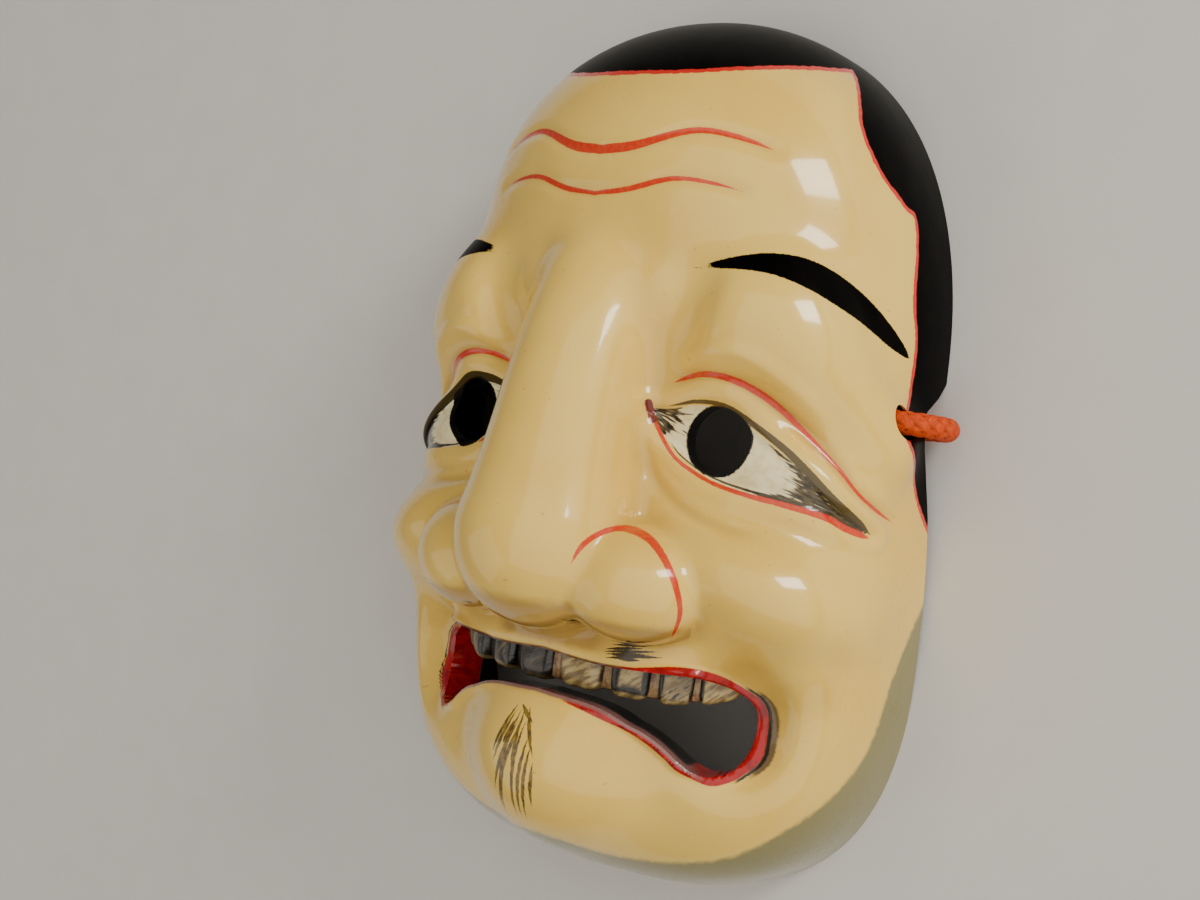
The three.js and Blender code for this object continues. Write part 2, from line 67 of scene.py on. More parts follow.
# Height, depth and radius of the nose from its root to its tip.
NOSE = [(38, 54, 17.5), (18, 60.2, 18), (-3, 63.2, 19.6), (-23, 64.5, 23.1)]
NOSE_FILLET = 10

# Lines on the face: the distance round it from its middle, then the height.
UPPER_LID = [(22, 12), (29, 12.7), (35.5, 14.2), (42, 13.9), (49, 10.3), (59, 2.2), (67, -5), (78, -11.3)]
LOWER_LID = [(77.5, -11.5), (70, -9.6), (61, -7), (48, -5), (38, -1.9), (28, 5.2)]
LID_CREASE = [(26.6, 18.6), (35, 21.4), (43, 20.9), (51, 17.5), (59, 11.9), (67, 4.2), (74, -2.8), (88.5, -9)]
LID_FOLD = [(25, 23), (35, 26.5), (45, 26.5), (58, 18), (70, 7)]
EYE_BAG = [(21, 5), (26, -4), (36, -11), (48, -14.5), (62, -16)]
UPPER_WRINKLE = [(0, 74), (10, 75.3), (25, 80), (38, 79), (49, 76)]
LOWER_WRINKLE = [(0, 63), (10, 64.3), (22, 67.6), (34, 67), (43, 65)]
LIPS = [(0, -50.6), (16, -51.6), (26.6, -51.3), (33, -50.2), (39, -49.1), (45.2, -48.8), (51.6, -49.9),
        (58.7, -52.3), (63.7, -54.9), (65.6, -58.5), (66, -63.5), (65, -69), (61.8, -72.9), (57.7, -75.7),
        (52.8, -77.2), (47.8, -76.2), (43.2, -74.8), (39.5, -72.4), (34.3, -69.7), (28.5, -67.5),
        (22, -66), (10, -63.4), (0, -62.4)]
MOUTH = [(0, -51.4), (16, -52.4), (27, -52.1), (40, -51.4), (46, -51.4), (53, -52.5), (59, -54.2),
         (62.7, -56.6), (64, -60), (64, -64), (62.8, -68), (60, -71.8), (56.5, -74), (52, -75), (48, -74.4),
         (44, -72.5), (39, -69.4), (34, -67.1), (28.5, -65.5), (22.5, -63.6), (15, -62.4), (0, -61.4)]
MOUTH_CUT = {"inwards": 30.0, "outwards": 22.0, "lean": 0.45}
RIM_CUT = [(29, 0), (25, 3.5), (21, 9), (17, 9.8), (12, 9.4), (6, 7.6), (-5, 5), (-25, 2.4), (-45, 0.8), (-60, 0)]

# Painted lines and shapes that the carving has no part in. The two lists of places beyond the face close the
# outlines of the hair and of the jaw.
HAIR_TOP = [(-30, 96), (0, 96), (22, 97), (50, 101.5), (77, 106)]
HAIR_SIDE = [(77, 106), (70, 90), (74, 78), (82, 71), (87, 67), (86, 48), (88, 36), (87, 23), (82, 15), (89, 6),
             (98, -6), (112, -18)]
HAIR_BEYOND = [(130, -18), (130, 200), (-30, 200)]
BROW = [(29.5, 46.6), (40.5, 50.4), (49, 52.1), (58, 51.2), (68.5, 46.5), (77.5, 40.5), (85.5, 33.2), (79.5, 34.2),
        (71.6, 37.6), (62.4, 41.1), (55.4, 44.1), (48.1, 46.4), (40.8, 46.9)]
JAW_EDGE = [(112, -12), (98.8, -31.6), (92, -45.9), (90, -56.4), (87.6, -65.3), (82.5, -73.8), (77.6, -79.7),
            (71.8, -85.6), (65.6, -92), (59.8, -95.9), (50.3, -99.2), (40.7, -100.8), (22.6, -101.5),
            (8.9, -98.6), (-9, -98)]
JAW_BEYOND = [(-9, -200), (130, -200), (130, -12)]

# Brush lines: points, widest half width, where it is widest, and the share that tapers at each end. The half
# width below zero stands for no line.
NO_LINE = -5.0
WING_ARC = [(14.7, -31.5), (17.5, -22.2), (22.4, -17.8), (30, -19.3), (35.3, -25.4), (38.5, -34.3), (37.6, -41.5),
            (36.4, -45.5)]
BRUSH_LINES = {
    "red": [
        (UPPER_WRINKLE, 1.3, 0.12, 0, 0.3),
        (LOWER_WRINKLE, 0.75, 0.3, 0, 0.35),
        ([(25.5, 17.5), *LID_CREASE[1:]], 0.85, 0.35, 0.12, 0.1),
        ([(22.8, 12.2), (26.1, 7), (31.3, 1.1), (37.6, -2.4), (42.8, -4.3), (48.9, -5.6), (56.2, -6.6),
          (65.4, -8.2), (70.3, -10.2), (78, -12)], 0.88, 0.88, 0.1, 0.06),
        (WING_ARC, 0.85, 0.45, 0.15, 0.3),
    ],
    "upper_dark": [
        ([(22, 11.8), (29.2, 13.3), (35.6, 14.9), (42.2, 14.6), (48.8, 11.2), (55, 6.8), (59.2, 2.9),
          (66.8, -4.4), (79, -12)], 0.95, 0.75, 0.25, 0.06),
    ],
    "lower_dark": [
        ([(27, 7.8), (32, 2.3), (38, -1.2), (43, -3.1), (49, -4.4), (56, -5.4), (65, -7), (70, -9), (78, -11.6)],
         0.42, 0.7, 0.15, 0.1),
        ([(10, -41), (16, -43.2), (22, -43)], 0.45, 0.5, 0.3, 0.3),
    ],
}
INNER_CORNER = [(22.5, 13.2), (22.9, 11.8), (24.2, 9.2)]

# Single brush strokes, each from one place to another: the moustache on either side and the chin tuft.
MOUSTACHE = [((22.7, -46.2), (33.2, -43.2)), ((21.3, -46.9), (33.4, -45.2)), ((19.3, -48.2), (30.7, -46.3)),
             ((18.7, -48.9), (34.3, -46.6)), ((19.5, -49.4), (32.7, -47.6)), ((21.8, -49.4), (36.2, -47.7)),
             ((19.8, -50.3), (31.1, -48.5)), ((23.9, -50.1), (30.1, -49.4)), ((27.3, -44.1), (30, -44.3))]
CHIN_TUFT = [((-3.6, -65.9), (-8, -79.1)), ((-3.1, -67.4), (-7.2, -81.2)), ((-2.3, -69.5), (-4.4, -76.3)),
             ((-1, -69.2), (-7.3, -88.5)), ((-1.5, -66.2), (-5.6, -93.2)), ((-0.2, -72.8), (-7.3, -94.3)),
             ((-0.5, -65.7), (-0.1, -85.7)), ((0.2, -68.3), (-6.7, -95.9)), ((0.5, -65.8), (5.8, -77.3)),
             ((1.3, -68.8), (-1.4, -95.3)), ((3.6, -72.1), (0.2, -94.6)), ((4.8, -74.3), (2.1, -94.5)),
             ((6, -78.5), (5.2, -90.2)), ((-2.3, -65.7), (3.4, -69.6)), ((-2, -70.7), (-5.7, -85.1))]

TEETH = [(1, 17.5), (19.5, 33.5), (35, 46.5), (47, 60.5)]
TOOTH = {"top": -44.0, "gum": -48.0, "back": 9.0, "thickness": 7.0, "gap": 0.2}
TOOTH_BOTTOM = ((0, 33, 47, 61), (-60.5, -60.5, -59.4, -56.2))
# Corners of the gum's section: how far out, and its share of the way up from the teeth's lower ends.
GUM_SECTION = np.array([(0, 1), (0, 0.6), (0.3, 0.3), (-0.4, 0.1), (-2.2, 0.06), (-4, 0.3), (-4, 1)])
# How tan each tooth is, and how far from its middle its dark outline starts: right side, then left. The left
# teeth are kept dark as painted shade, where the far side of the mouth lies in shadow.
TOOTH_LOOKS = {1: [(0.95, 0.86), (0.62, 0.52), (0.42, 0.74), (0.9, 0.8)],
               -1: [(0.12, 0.62), (0.3, 0.6), (0.2, 0.6), (0.2, 0.6)]}

# The cord's route from the knot in the temple hole to the coil, on the right side.
RUN = [(61.6, 17, 24.6), (66, 17, 24.6), (72.2, 17, 23.6), (76.6, 17, 19.8), (78.2, 17, 14.2), (76.6, 17, 8.6),
       (72.2, 17, 4.5), (66, 17, 3.3), (60, 17.4, 3.2), (54.5, 20, 3.2), (50.6, 24.5, 3.2), (48.9, 30, 3.2),
       (48.2, 36, 3.2), (47.9, 42, 3.2), (47.8, 48, 3.2), (47.7, 54, 3.2)]
COIL = {"y": 64.0, "first": 40.9, "pitch": 6.1, "turns": 3.03, "lift": 6.4}
KNOT = {"radius": 5.2, "stop_x": 55.9, "end_x": 15.0, "size": 3.1, "strand": 2.1}
# Lengths of the steps along the cord, its knots and a coarser path along it. Then the braid: its lowest share of
# the cord's radius and the share above that, how far a strand dips under another, and how many points go round.
CORD_STEP = {"cord": 0.8, "knot": 0.7, "path": 4.0}
BRAID = {"floor": 0.78, "rise": 0.22, "dip": 0.2, "sides": 28, "quick_sides": 16}

# Rays go from a spine inside the mask to a shell outside it: the shell's half sizes, the spine's share of its
# height, the spine's middle, and the shares of a ray where the search for the face starts and ends.
RAY_SHELL = (72, 118, 64)
SPINE = {"share": 0.55, "y": 4}
RAY_SPAN = (1.7, 0.3)

# The closer grid of the outside: bands of height from -1 to 1 where its rows crowd together, and how much.
ROW_BANDS = [(-0.56, -0.24, 1.5), (-0.24, -0.14, 0.9), (-0.14, 0.24, 1.4), (0.3, 0.48, 1.0)]
ROW_WEIGHT = 0.55
# The hollow's grid, how far its cutter goes below the rim, and from what angle on an edge is shown sharp.
HOLLOW_GRID = (80, 110)
HOLLOW_SKIRT = 6
SHARP_EDGE = 42

# Lights: name, turn from the face's front, rise to the crown, distance, size, share of the power, and tint.
LIGHTS = [
    ("window", 68, 34, 1.3, (0.3, 0.46), 0.66, (1.0, 0.96, 0.88)),
    ("screen", 38, -4, 1.7, (3.0, 3.0), 2.35, (1.0, 0.95, 0.86)),
    ("fill", -45, -24, 1.8, (1.4, 1.4), 0.4, (1.0, 0.93, 0.8)),
]
# The height that they are aimed at in metres, the colour and strength of the studio's own light, and in
# millimetres the floor's radius and the place on the rim's plane that the camera looks at.
LIT_HEIGHT = 0.04
STUDIO = ((0.84, 0.81, 0.76, 1.0), 0.22)
FLOOR_RADIUS = 2500
CAMERA_GOAL = (-35.8, 0, 0)


def colour(red, green, blue):
    """A colour as it looks on a screen, from 0 to 255, as the linear colour that a shader takes."""
    parts = [value / 255 for value in (red, green, blue)]
    return (*[((value + 0.055) / 1.055) ** 2.4 if value > 0.04 else value / 12.92 for value in parts], 1.0)


def smooth_step(low, high, value):
    t = np.clip((value - low) / (high - low), 0, 1)
    return t * t * (3 - 2 * t)


def to_part(points):
    """Points in millimetres from the line of the eyes, as metres in the part's frame."""
    return (np.asarray(points, float) + (0, EYE_LINE, 0)) * MM


# ---- forms ----
def blend(a, b, fillet):
    """Join two distances with a fillet."""
    h = np.maximum(fillet - np.abs(a - b), 0) / fillet
    return np.minimum(a, b) - h ** 3 * fillet / 6


def hollow_out(form, tool, fillet):
    return -blend(-form, tool, fillet)


def dome(p, spec):
    """Distance to a dome with a rounded-square plan and profile."""
    centre, size, plan, profile = spec
    q = np.abs((p - centre) / size) + 1e-9
    flat = q[..., 0] ** plan + q[..., 1] ** plan
    whole = (flat ** (profile / plan) + q[..., 2] ** profile) ** (1 / profile)
    k = whole ** (1 - profile)
    side = k * flat ** (profile / plan - 1)
    steepness = (side * q[..., 0] ** (plan - 1) / size[0], side * q[..., 1] ** (plan - 1) / size[1],
                 k * q[..., 2] ** (profile - 1) / size[2])
    return (whole - 1) / np.sqrt(sum(part * part for part in steepness))


def turned(turn):
    x, y, z = (math.radians(angle) for angle in turn)
    matrix = Matrix.Rotation(z, 3, "Z") @ Matrix.Rotation(y, 3, "Y") @ Matrix.Rotation(x, 3, "X")
    return np.array(matrix)


def lump(p, centre, size, turn=(0, 0, 0)):
    """Distance to a rounded lump with the half sizes and turns given."""
    q = (p - np.array(centre)) @ turned(turn) / size
    near = np.sqrt((q * q).sum(-1))
    slope = np.sqrt(((q / size) ** 2).sum(-1))
    return near * (near - 1) / np.maximum(slope, 1e-9)


def ridge(p, start, end, start_radius, end_radius):
    """Distance to a ridge with round ends."""
    start = np.array(start, float)
    along = np.array(end, float) - start
    t = np.clip((p - start) @ along / (along @ along), 0, 1)
    d = p - start - t[..., None] * along
    return np.sqrt((d * d).sum(-1)) - (start_radius + (end_radius - start_radius) * t)


def smooth_line(points, steps=6):
    """A smooth line through its points, as short straight steps."""
    points = np.array(points, float)
    wide = np.vstack([2 * points[0] - points[1], points, 2 * points[-1] - points[-2]])
    t = np.linspace(0, 1, steps, endpoint=False)[:, None]
    parts = []
    for before, a, b, after in zip(wide, wide[1:], wide[2:], wide[3:]):
        parts.append(0.5 * (2 * a + (b - before) * t + (2 * before - 5 * a + 4 * b - after) * t ** 2
                            + (3 * a - before - 3 * b + after) * t ** 3))
    return np.vstack([*parts, points[-1:]])


NOSE_DEPTH, NOSE_RADIUS = [np.poly1d(np.polyfit(*np.array(NOSE).T[[0, i]], 3)) for i in (1, 2)]


def nose(p):
    """Distance to a smooth row of balls that grow from the nose's root to its tip."""
    height = np.clip(p[..., 1], NOSE[-1][0], NOSE[0][0])
    for _ in range(4):
        ahead = p[..., 2] - NOSE_DEPTH(height)
        off = np.sqrt(p[..., 0] ** 2 + (p[..., 1] - height) ** 2 + ahead ** 2)
        height = p[..., 1] + ahead * NOSE_DEPTH.deriv()(height) + off * NOSE_RADIUS.deriv()(height)
        height = np.clip(height, NOSE[-1][0], NOSE[0][0])
    ahead = p[..., 2] - NOSE_DEPTH(height)
    return np.sqrt(p[..., 0] ** 2 + (p[..., 1] - height) ** 2 + ahead ** 2) - NOSE_RADIUS(height)


FOREHEAD = ((0, 68, 24), (54.5, 44, 41.5))
CHIN = ((0, -78, 34), (31, 26, 31))
MOUTH_CORNER = ((51, -62, 46.5), (12.5, 15, 12.5), (0, 55, 0))

# What is carved on the two domes, in turn: whether it stands out or is hollowed, its form, and its fillet.
FACE_FORMS = [
    (blend, lump, FOREHEAD, 18),
    (blend, lump, ((42, 34.5, 44), (21.5, 20, 16.7), (0, 26, -12)), 12),      # brow over the lid
    (blend, ridge, ((52, 27, 40), (64, 10, 24), 12.5, 10.5), 12),             # brow running down outside
    (blend, lump, ((18, 41, 50), (9, 10, 12)), 8),                            # frown
    (blend, lump, ((47.5, -26, 38), (26.5, 14, 21.5), (0, 30, -18)), 20),     # cheek
    (blend, lump, ((0, -52, 30), (44, 22, 29)), 14),                          # upper lip
    (blend, lump, CHIN, 12),
    (hollow_out, ridge, ((33, 44, 65), (24, 14, 64.5), 5, 7), 8),             # groove beside the nose root
    (hollow_out, lump, MOUTH_CORNER, 14),
    (blend, lump, ((45, 2, 33.5), (26.5, 14, 19.7), (0, 11, -20)), 8),        # eyeball under its lids
    (blend, nose, (), NOSE_FILLET),
    (blend, lump, ((25.5, -31, 59), (18.5, 14.5, 15.5), (0, 24, 0)), 4),      # wing of the nose
]


def right_half(p):
    return np.stack([np.abs(p[..., 0]), p[..., 1], p[..., 2]], -1)


def face(points):
    """Distance to the outside of the face without its fine carving, below zero inside the wood."""
    p = right_half(points)
    d = blend(dome(p, CROWN), dome(p, JAW), DOME_FILLET)
    for join, form, measures, fillet in FACE_FORMS:
        d = join(d, form(p, *measures), fillet)
    return d


def hollow(points):
    """Distance to the hollow behind the face, above zero inside the wood."""
    p = right_half(points)
    d = blend(dome(p, CROWN), dome(p, JAW), DOME_FILLET)
    d = blend(blend(d, lump(p, *FOREHEAD), 18), lump(p, *CHIN), 20)
    return hollow_out(d, lump(p, *MOUTH_CORNER), 14) + WALL


# ---- lines on the face ----
def around(p):
    return ROLL_RADIUS * np.arctan2(p[..., 0], np.maximum(p[..., 2], 1e-3))


def nearest(path, w, y, scale=1.0):
    """Distance from places to a line, below zero on its right, and how far along it that is, from 0 to 1."""
    best = np.full(w.shape, np.inf)
    along = np.zeros(w.shape)
    for i, ((ax, ay), (bx, by)) in enumerate(zip(path, path[1:])):
        dx, dy, ex, ey = (w - ax) * scale, y - ay, (bx - ax) * scale, by - ay
        t = np.clip((dx * ex + dy * ey) / np.maximum(ex * ex + ey * ey, 1e-9), 0, 1)
        d = np.hypot(dx - t * ex, dy - t * ey)
        closer = d < np.abs(best)
        best = np.where(closer, np.copysign(d, ex * dy - ey * dx), best)
        along = np.where(closer, (i + t) / (len(path) - 1), along)
    return best, along


def is_inside(loop, w, y):
    inside = np.zeros(w.shape, bool)
    for (ax, ay), (bx, by) in zip(loop, np.roll(loop, -1, axis=0)):
        crossing = (ay > y) != (by > y)
        slope = (bx - ax) / (by - ay) if by != ay else 0.0
        inside ^= crossing & (w < slope * (y - ay) + ax)
    return inside


def signed(path, w, y, scale=1.0, closed=False):
    """Distance to an outline, below zero inside. A half outline stays open along the middle."""
    line = np.vstack([path, path[:1]]) if closed else path
    d = np.abs(nearest(line, w, y, scale)[0])
    return np.where(is_inside(path, w, y), -d, d)


def beyond(line, corners, w, y, scale):
    """Distance to a line across the face, above zero on the side that the corners close off."""
    d = np.abs(nearest(line, w, y, scale)[0])
    return np.where(is_inside(np.vstack([line, corners]), w, y), d, -d)


def hump(d, width):
    return np.maximum(1 - (d / width) ** 2, 0) ** 2


def taper(along, start, end):
    """A line's share of its full size along it. A start of 0 leaves that end full."""
    rise = smooth_step(0, start, along) if start > 0 else 1.0
    return rise * smooth_step(0, end, 1 - along)


EYE_OUTLINE = np.vstack([smooth_line(UPPER_LID), smooth_line(LOWER_LID)])

# Carved lines: points, height, half width, and the share that tapers at each end.
CARVED_LINES = [
    (LID_CREASE, -1.3, 2.8, 0.12, 0.12),
    (LID_FOLD, 0.9, 3.2, 0.3, 0.3),
    (EYE_BAG, -0.9, 3.0, 0.25, 0.3),
    (UPPER_WRINKLE, -0.9, 2.8, 0, 0.15),
    (LOWER_WRINKLE, -0.8, 2.8, 0, 0.15),
]


def carving(w, y, edge_radius=0.0):
    """Height of the fine carving at places on the face, with the mouth's edge rounded if asked."""
    height = np.zeros(w.shape)
    near = (w < 95) & (y > -20) & (y < 90)
    wn, yn = w[near], y[near]
    eye = signed(EYE_OUTLINE, wn, yn, closed=True)
    part = -1.1 * smooth_step(0.3, -1.6, eye) + 0.8 * hump(eye - 2.6, 3.2)
    for points, rise, width, start, end in CARVED_LINES:
        d, along = nearest(smooth_line(points), wn, yn)
        part += rise * hump(d, width) * taper(along, start, end)
    height[near] += part
    near = (w < 80) & (y > -90) & (y < -38)
    wn, yn = w[near], y[near]
    lips = signed(smooth_line(LIPS), wn, yn)
    part = 1.6 * smooth_step(0.4, -1.4, lips) * smooth_step(14, 30, wn)
    if edge_radius > 0:
        mouth = signed(smooth_line(MOUTH), wn, yn)
        part -= 0.5 * edge_radius * np.clip(1 - mouth / edge_radius, 0, 1) ** 2
    height[near] += part
    return height


# ---- meshes ----
def crowded(count, weight):
    """A spread of lines from -1 to 1 that crowd together where the weight is high."""
    fine = np.linspace(-1, 1, 801)
    middles = (fine[1:] + fine[:-1]) / 2
    sums = np.concatenate([[0], np.cumsum(weight(middles))])
    return np.interp(np.linspace(0, sums[-1], count + 1), sums, fine)


def rays(across, up):
    """Rays from the spine inside the mask to a shell outside it. The grid's edge runs round the rim."""
    u, v = across[:, None], up[None, :]
    x = u * np.sqrt(1 - v * v / 2)
    y = v * np.sqrt(1 - u * u / 2)
    far = np.minimum(np.hypot(x, y), 1)
    side = np.where(far > 1e-9, np.sin(far * math.pi / 2) / np.maximum(far, 1e-9), 0)
    on_rim = np.maximum(np.abs(u), np.abs(v)) > 1 - 1e-9
    wide, tall, deep = RAY_SHELL
    depth = np.where(on_rim, 0, deep * np.cos(far * math.pi / 2))
    goal = np.stack([wide * x * side, tall * y * side, depth], -1)
    start = np.zeros_like(goal)
    start[..., 1] = SPINE["share"] * goal[..., 1] + SPINE["y"]
    goal[..., 1] += SPINE["y"]
    return start, goal - start


def meet(form, start, direction, first=1.6, step=0.09, halvings=14):
    """The outermost place where each ray meets the form: coarse steps inwards, then halvings."""
    outside, inside = (np.full(start.shape[:-1], share) for share in RAY_SPAN)
    open_rays = np.ones(start.shape[:-1], bool)
    for t in np.arange(first, RAY_SPAN[1], -step):
        hit = form(start[open_rays] + t * direction[open_rays]) < 0
        places = np.flatnonzero(open_rays.ravel())
        inside.ravel()[places[hit]] = t
        outside.ravel()[places[~hit]] = t
        open_rays.ravel()[places[hit]] = False
    for _ in range(halvings):
        t = (outside + inside) / 2
        within = form(start + t[..., None] * direction) < 0
        inside = np.where(within, t, inside)
        outside = np.where(within, outside, t)
    return start + ((outside + inside) / 2)[..., None] * direction


def slopes(form, p, step=0.25):
    """Unit normals of a form."""
    parts = []
    for axis in range(3):
        shift = np.zeros(3)
        shift[axis] = step
        parts.append(form(p + shift) - form(p - shift))
    normal = np.stack(parts, -1)
    return normal / np.linalg.norm(normal, axis=-1, keepdims=True)


def new_mesh(name, points, faces):
    """A mesh object at the origin from points in millimetres and its faces."""
    mesh = bpy.data.meshes.new(name)
    mesh.from_pydata(to_part(points).tolist(), [], faces)
    mesh.validate()
    mesh.update()
    mesh.shade_smooth()
    piece = bpy.data.objects.new(name, mesh)
    bpy.context.scene.collection.objects.link(piece)
    return piece


def grid_body(points, skirt):
    """A closed body from a grid of points whose edge lies on the rim, with a straight skirt if asked."""
    rows = points.shape[1]
    index = np.arange(points.shape[0] * rows).reshape(points.shape[:2])
    quads = np.stack([index[:-1, :-1], index[1:, :-1], index[1:, 1:], index[:-1, 1:]], -1).reshape(-1, 4)
    rim = np.concatenate([index[:-1, 0], index[-1, :-1], index[:0:-1, -1], index[0, :0:-1]])
    flat = points.reshape(-1, 3)
    faces = quads.tolist()
    back = rim
    if skirt:
        low = flat[rim].copy()
        low[:, 2] = -skirt
        back = np.arange(len(rim)) + len(flat)
        flat = np.vstack([flat, low])
        after = np.roll(np.arange(len(rim)), -1)
        faces += np.stack([rim, back, back[after], rim[after]], -1).tolist()
    centre = len(flat)
    flat = np.vstack([flat, [[0, SPINE["y"], -skirt]]])
    after = np.roll(back, -1)
    faces += np.stack([back, np.full(len(back), centre), after], -1).tolist()
    return flat, faces


def prism(near, far, caps=None):
    """A closed body between two loops of the same length, with its end faces given if they are bent."""
    count = len(near)
    caps = caps or [list(range(count))]
    faces = [ids[::-1] for ids in caps] + [[count + i for i in ids] for ids in caps]
    faces += [[i, (i + 1) % count, count + (i + 1) % count, count + i] for i in range(count)]
    return np.vstack([near, far]), faces


def round_cutter(start, end, start_radius, end_radius, sides=72):
    start, end = np.array(start, float), np.array(end, float)
    along = (end - start) / np.linalg.norm(end - start)
    across = np.cross(along, (0, 1, 0) if abs(along[1]) < 0.9 else (1, 0, 0))
    across /= np.linalg.norm(across)
    other = np.cross(along, across)
    turn = np.linspace(0, 2 * math.pi, sides, endpoint=False)[:, None]
    ring = np.cos(turn) * across + np.sin(turn) * other
    return prism(start + ring * start_radius, end + ring * end_radius)


def reach_at(w, y):
    """How far the face stands from the spine at places on it."""
    angle, y = np.broadcast_arrays(np.asarray(w, float) / ROLL_RADIUS, y)
    start = np.stack([0 * angle, y, 0 * angle], -1)
    direction = 100 * np.stack([np.sin(angle), 0 * angle, np.cos(angle)], -1)
    return np.linalg.norm(meet(face, start, direction) - start, axis=-1)


def mouth_cutter():
    """The block that opens the mouth, which leans less than the face turns."""
    half = smooth_line(MOUTH)
    loop = np.vstack([half[::-1], half[1:-1] * (-1, 1)])
    w, y = loop.T
    angle, lean = w / ROLL_RADIUS, w / ROLL_RADIUS * MOUTH_CUT["lean"]
    reach = reach_at(np.abs(w), y)
    ends = []
    for away in (-MOUTH_CUT["inwards"], MOUTH_CUT["outwards"]):
        ends.append(np.stack([reach * np.sin(angle) + away * np.sin(lean), y,
                              reach * np.cos(angle) + away * np.cos(lean)], -1))
    caps = []
    for k in range((len(half) - 1) // 2):
        rung = [k, k + 1, len(half) - 2 - k, len(half) - 1 - k]
        for ids in (rung, [-i % len(loop) for i in rung[::-1]]):
            caps.append(list(dict.fromkeys(ids)))
    return prism(*ends, caps)


def rim_cutter():
    outline = np.array([(29, -5), *RIM_CUT, (-60, -5)], float)
    ends = [np.stack([np.full(len(outline), x), outline[:, 0], outline[:, 1]], -1) for x in (-100, 100)]
    return prism(*ends)


def pupil_radius(depth):
    """Radius of the pupil's flared hole at a depth in front of the face."""
    return PUPIL["radius"] * (1 + (1 - PUPIL["flare"]) * depth / PUPIL["back"])


def side_cutters(side):
    lean = math.sin(math.radians(PUPIL["turn"]))
    depths = np.array([-PUPIL["back"], PUPIL["front"]])
    ends = [(side * (PUPIL["x"] + depth * lean), PUPIL["y"], PUPIL["z"] + depth) for depth in depths]
    nostril = [(side * x, y, z) for x, y, z in (NOSTRIL["start"], NOSTRIL["end"])]
    temple = [(side * x, CORD["height"], CORD["depth"]) for x in (50, 90)]
    return [round_cutter(*ends, *pupil_radius(depths)),
            round_cutter(*nostril, NOSTRIL["mouth"], NOSTRIL["bottom"]),
            round_cutter(*temple, CORD["hole"] / 2, CORD["hole"] / 2)]


def outward(piece):
    """Turn a closed mesh's faces outwards."""
    mesh = piece.data
    points = np.array([vertex.co for vertex in mesh.vertices])
    volume = 0.0
    for polygon in mesh.polygons:
        ids = list(polygon.vertices)
        for a, b in zip(ids[1:], ids[2:]):
            volume += np.dot(points[ids[0]], np.cross(points[a], points[b]))
    if volume < 0:
        mesh.flip_normals()
    return piece


def carve_shell(settings):
    """The mask as one closed mesh: the outside, less the hollow and every opening."""
    def row_weight(v):
        bands = [(v > low) & (v < high) for low, high, _ in ROW_BANDS]
        return np.select(bands, [weight for _, _, weight in ROW_BANDS], ROW_WEIGHT)

    scale = 1.0
    across = crowded(int(settings.columns * scale), lambda u: np.where(np.abs(u) < 0.8, 1, 0.5))
    up = crowded(int(settings.rows * scale), row_weight)
    outside = meet(face, *rays(across, up))
    lift = carving(np.abs(around(outside)), outside[..., 1], settings.edge_radius)
    outside = outside + slopes(face, outside) * lift[..., None]
    edge = np.zeros(outside.shape[:2], bool)
    edge[[0, -1], :] = True
    edge[:, [0, -1]] = True
    outside[edge, 2] = 0
    even = [crowded(int(count * scale), np.ones_like) for count in HOLLOW_GRID]
    inside = meet(hollow, *rays(*even))
    body = outward(new_mesh("mask_shell", *grid_body(outside, 0)))
    cutters = [grid_body(inside, HOLLOW_SKIRT), mouth_cutter(), rim_cutter(), *side_cutters(1),
               *side_cutters(-1)]
    tools = [outward(new_mesh(f"cutter_{i}", *cutter)) for i, cutter in enumerate(cutters)]
    for tool in tools:
        change = body.modifiers.new(tool.name, "BOOLEAN")
        change.operation = "DIFFERENCE"
        change.solver = "MANIFOLD"
        change.object = tool
    graph = bpy.context.evaluated_depsgraph_get()
    mesh = bpy.data.meshes.new_from_object(body.evaluated_get(graph), depsgraph=graph)
    body.modifiers.clear()
    body.data = mesh
    for tool in tools:
        data = tool.data
        bpy.data.objects.remove(tool)
        bpy.data.meshes.remove(data)
    mesh.shade_smooth()
    mesh.set_sharp_from_angle(angle=math.radians(SHARP_EDGE))
    return body


def set_values(piece, name, values):
    """Keep a value at each point of a piece, for its material."""
    kind = "FLOAT_VECTOR" if values.ndim > 1 else "FLOAT"
    layer = piece.data.attributes.new(name, kind, "POINT")
    layer.data.foreach_set("vector" if values.ndim > 1 else "value", values.astype(np.float32).ravel())


def piece_points(piece):
    flat = np.empty(len(piece.data.vertices) * 3)
    piece.data.vertices.foreach_get("co", flat)
    return flat.reshape(-1, 3) / MM - (0, EYE_LINE, 0)


def brush_lines(specs, w, y, scale):
    """Distance to the nearest of some tapered brush lines, and its half width there."""
    best = np.full(w.shape, np.inf)
    half = np.zeros(w.shape)
    for points, half_width, widest, start, end in specs:
        d, along = nearest(smooth_line(points), w, y, scale)
        swell = 0.55 + 0.45 * np.exp(-((along - widest) / 0.3) ** 2)
        ends = taper(along, start, end)
        closer = np.abs(d) < np.abs(best)
        half = np.where(closer, half_width * swell * (0.15 + 0.85 * ends) - 0.35 * (1 - ends) ** 2, half)
        best = np.where(closer, d, best)
    return best, np.where(np.abs(best) < 3, half, NO_LINE)


def valley(p, reach=7.0):
    """How hollow the face is near each point: above zero in a dip, below zero on a bulge."""
    total = np.zeros(len(p))
    for direction in ((1, 1, 1), (1, -1, -1), (-1, 1, -1), (-1, -1, 1)):
        step = np.array(direction) * reach / math.sqrt(3)
        total += face(p + step) + face(p - step)
    return -total / 8


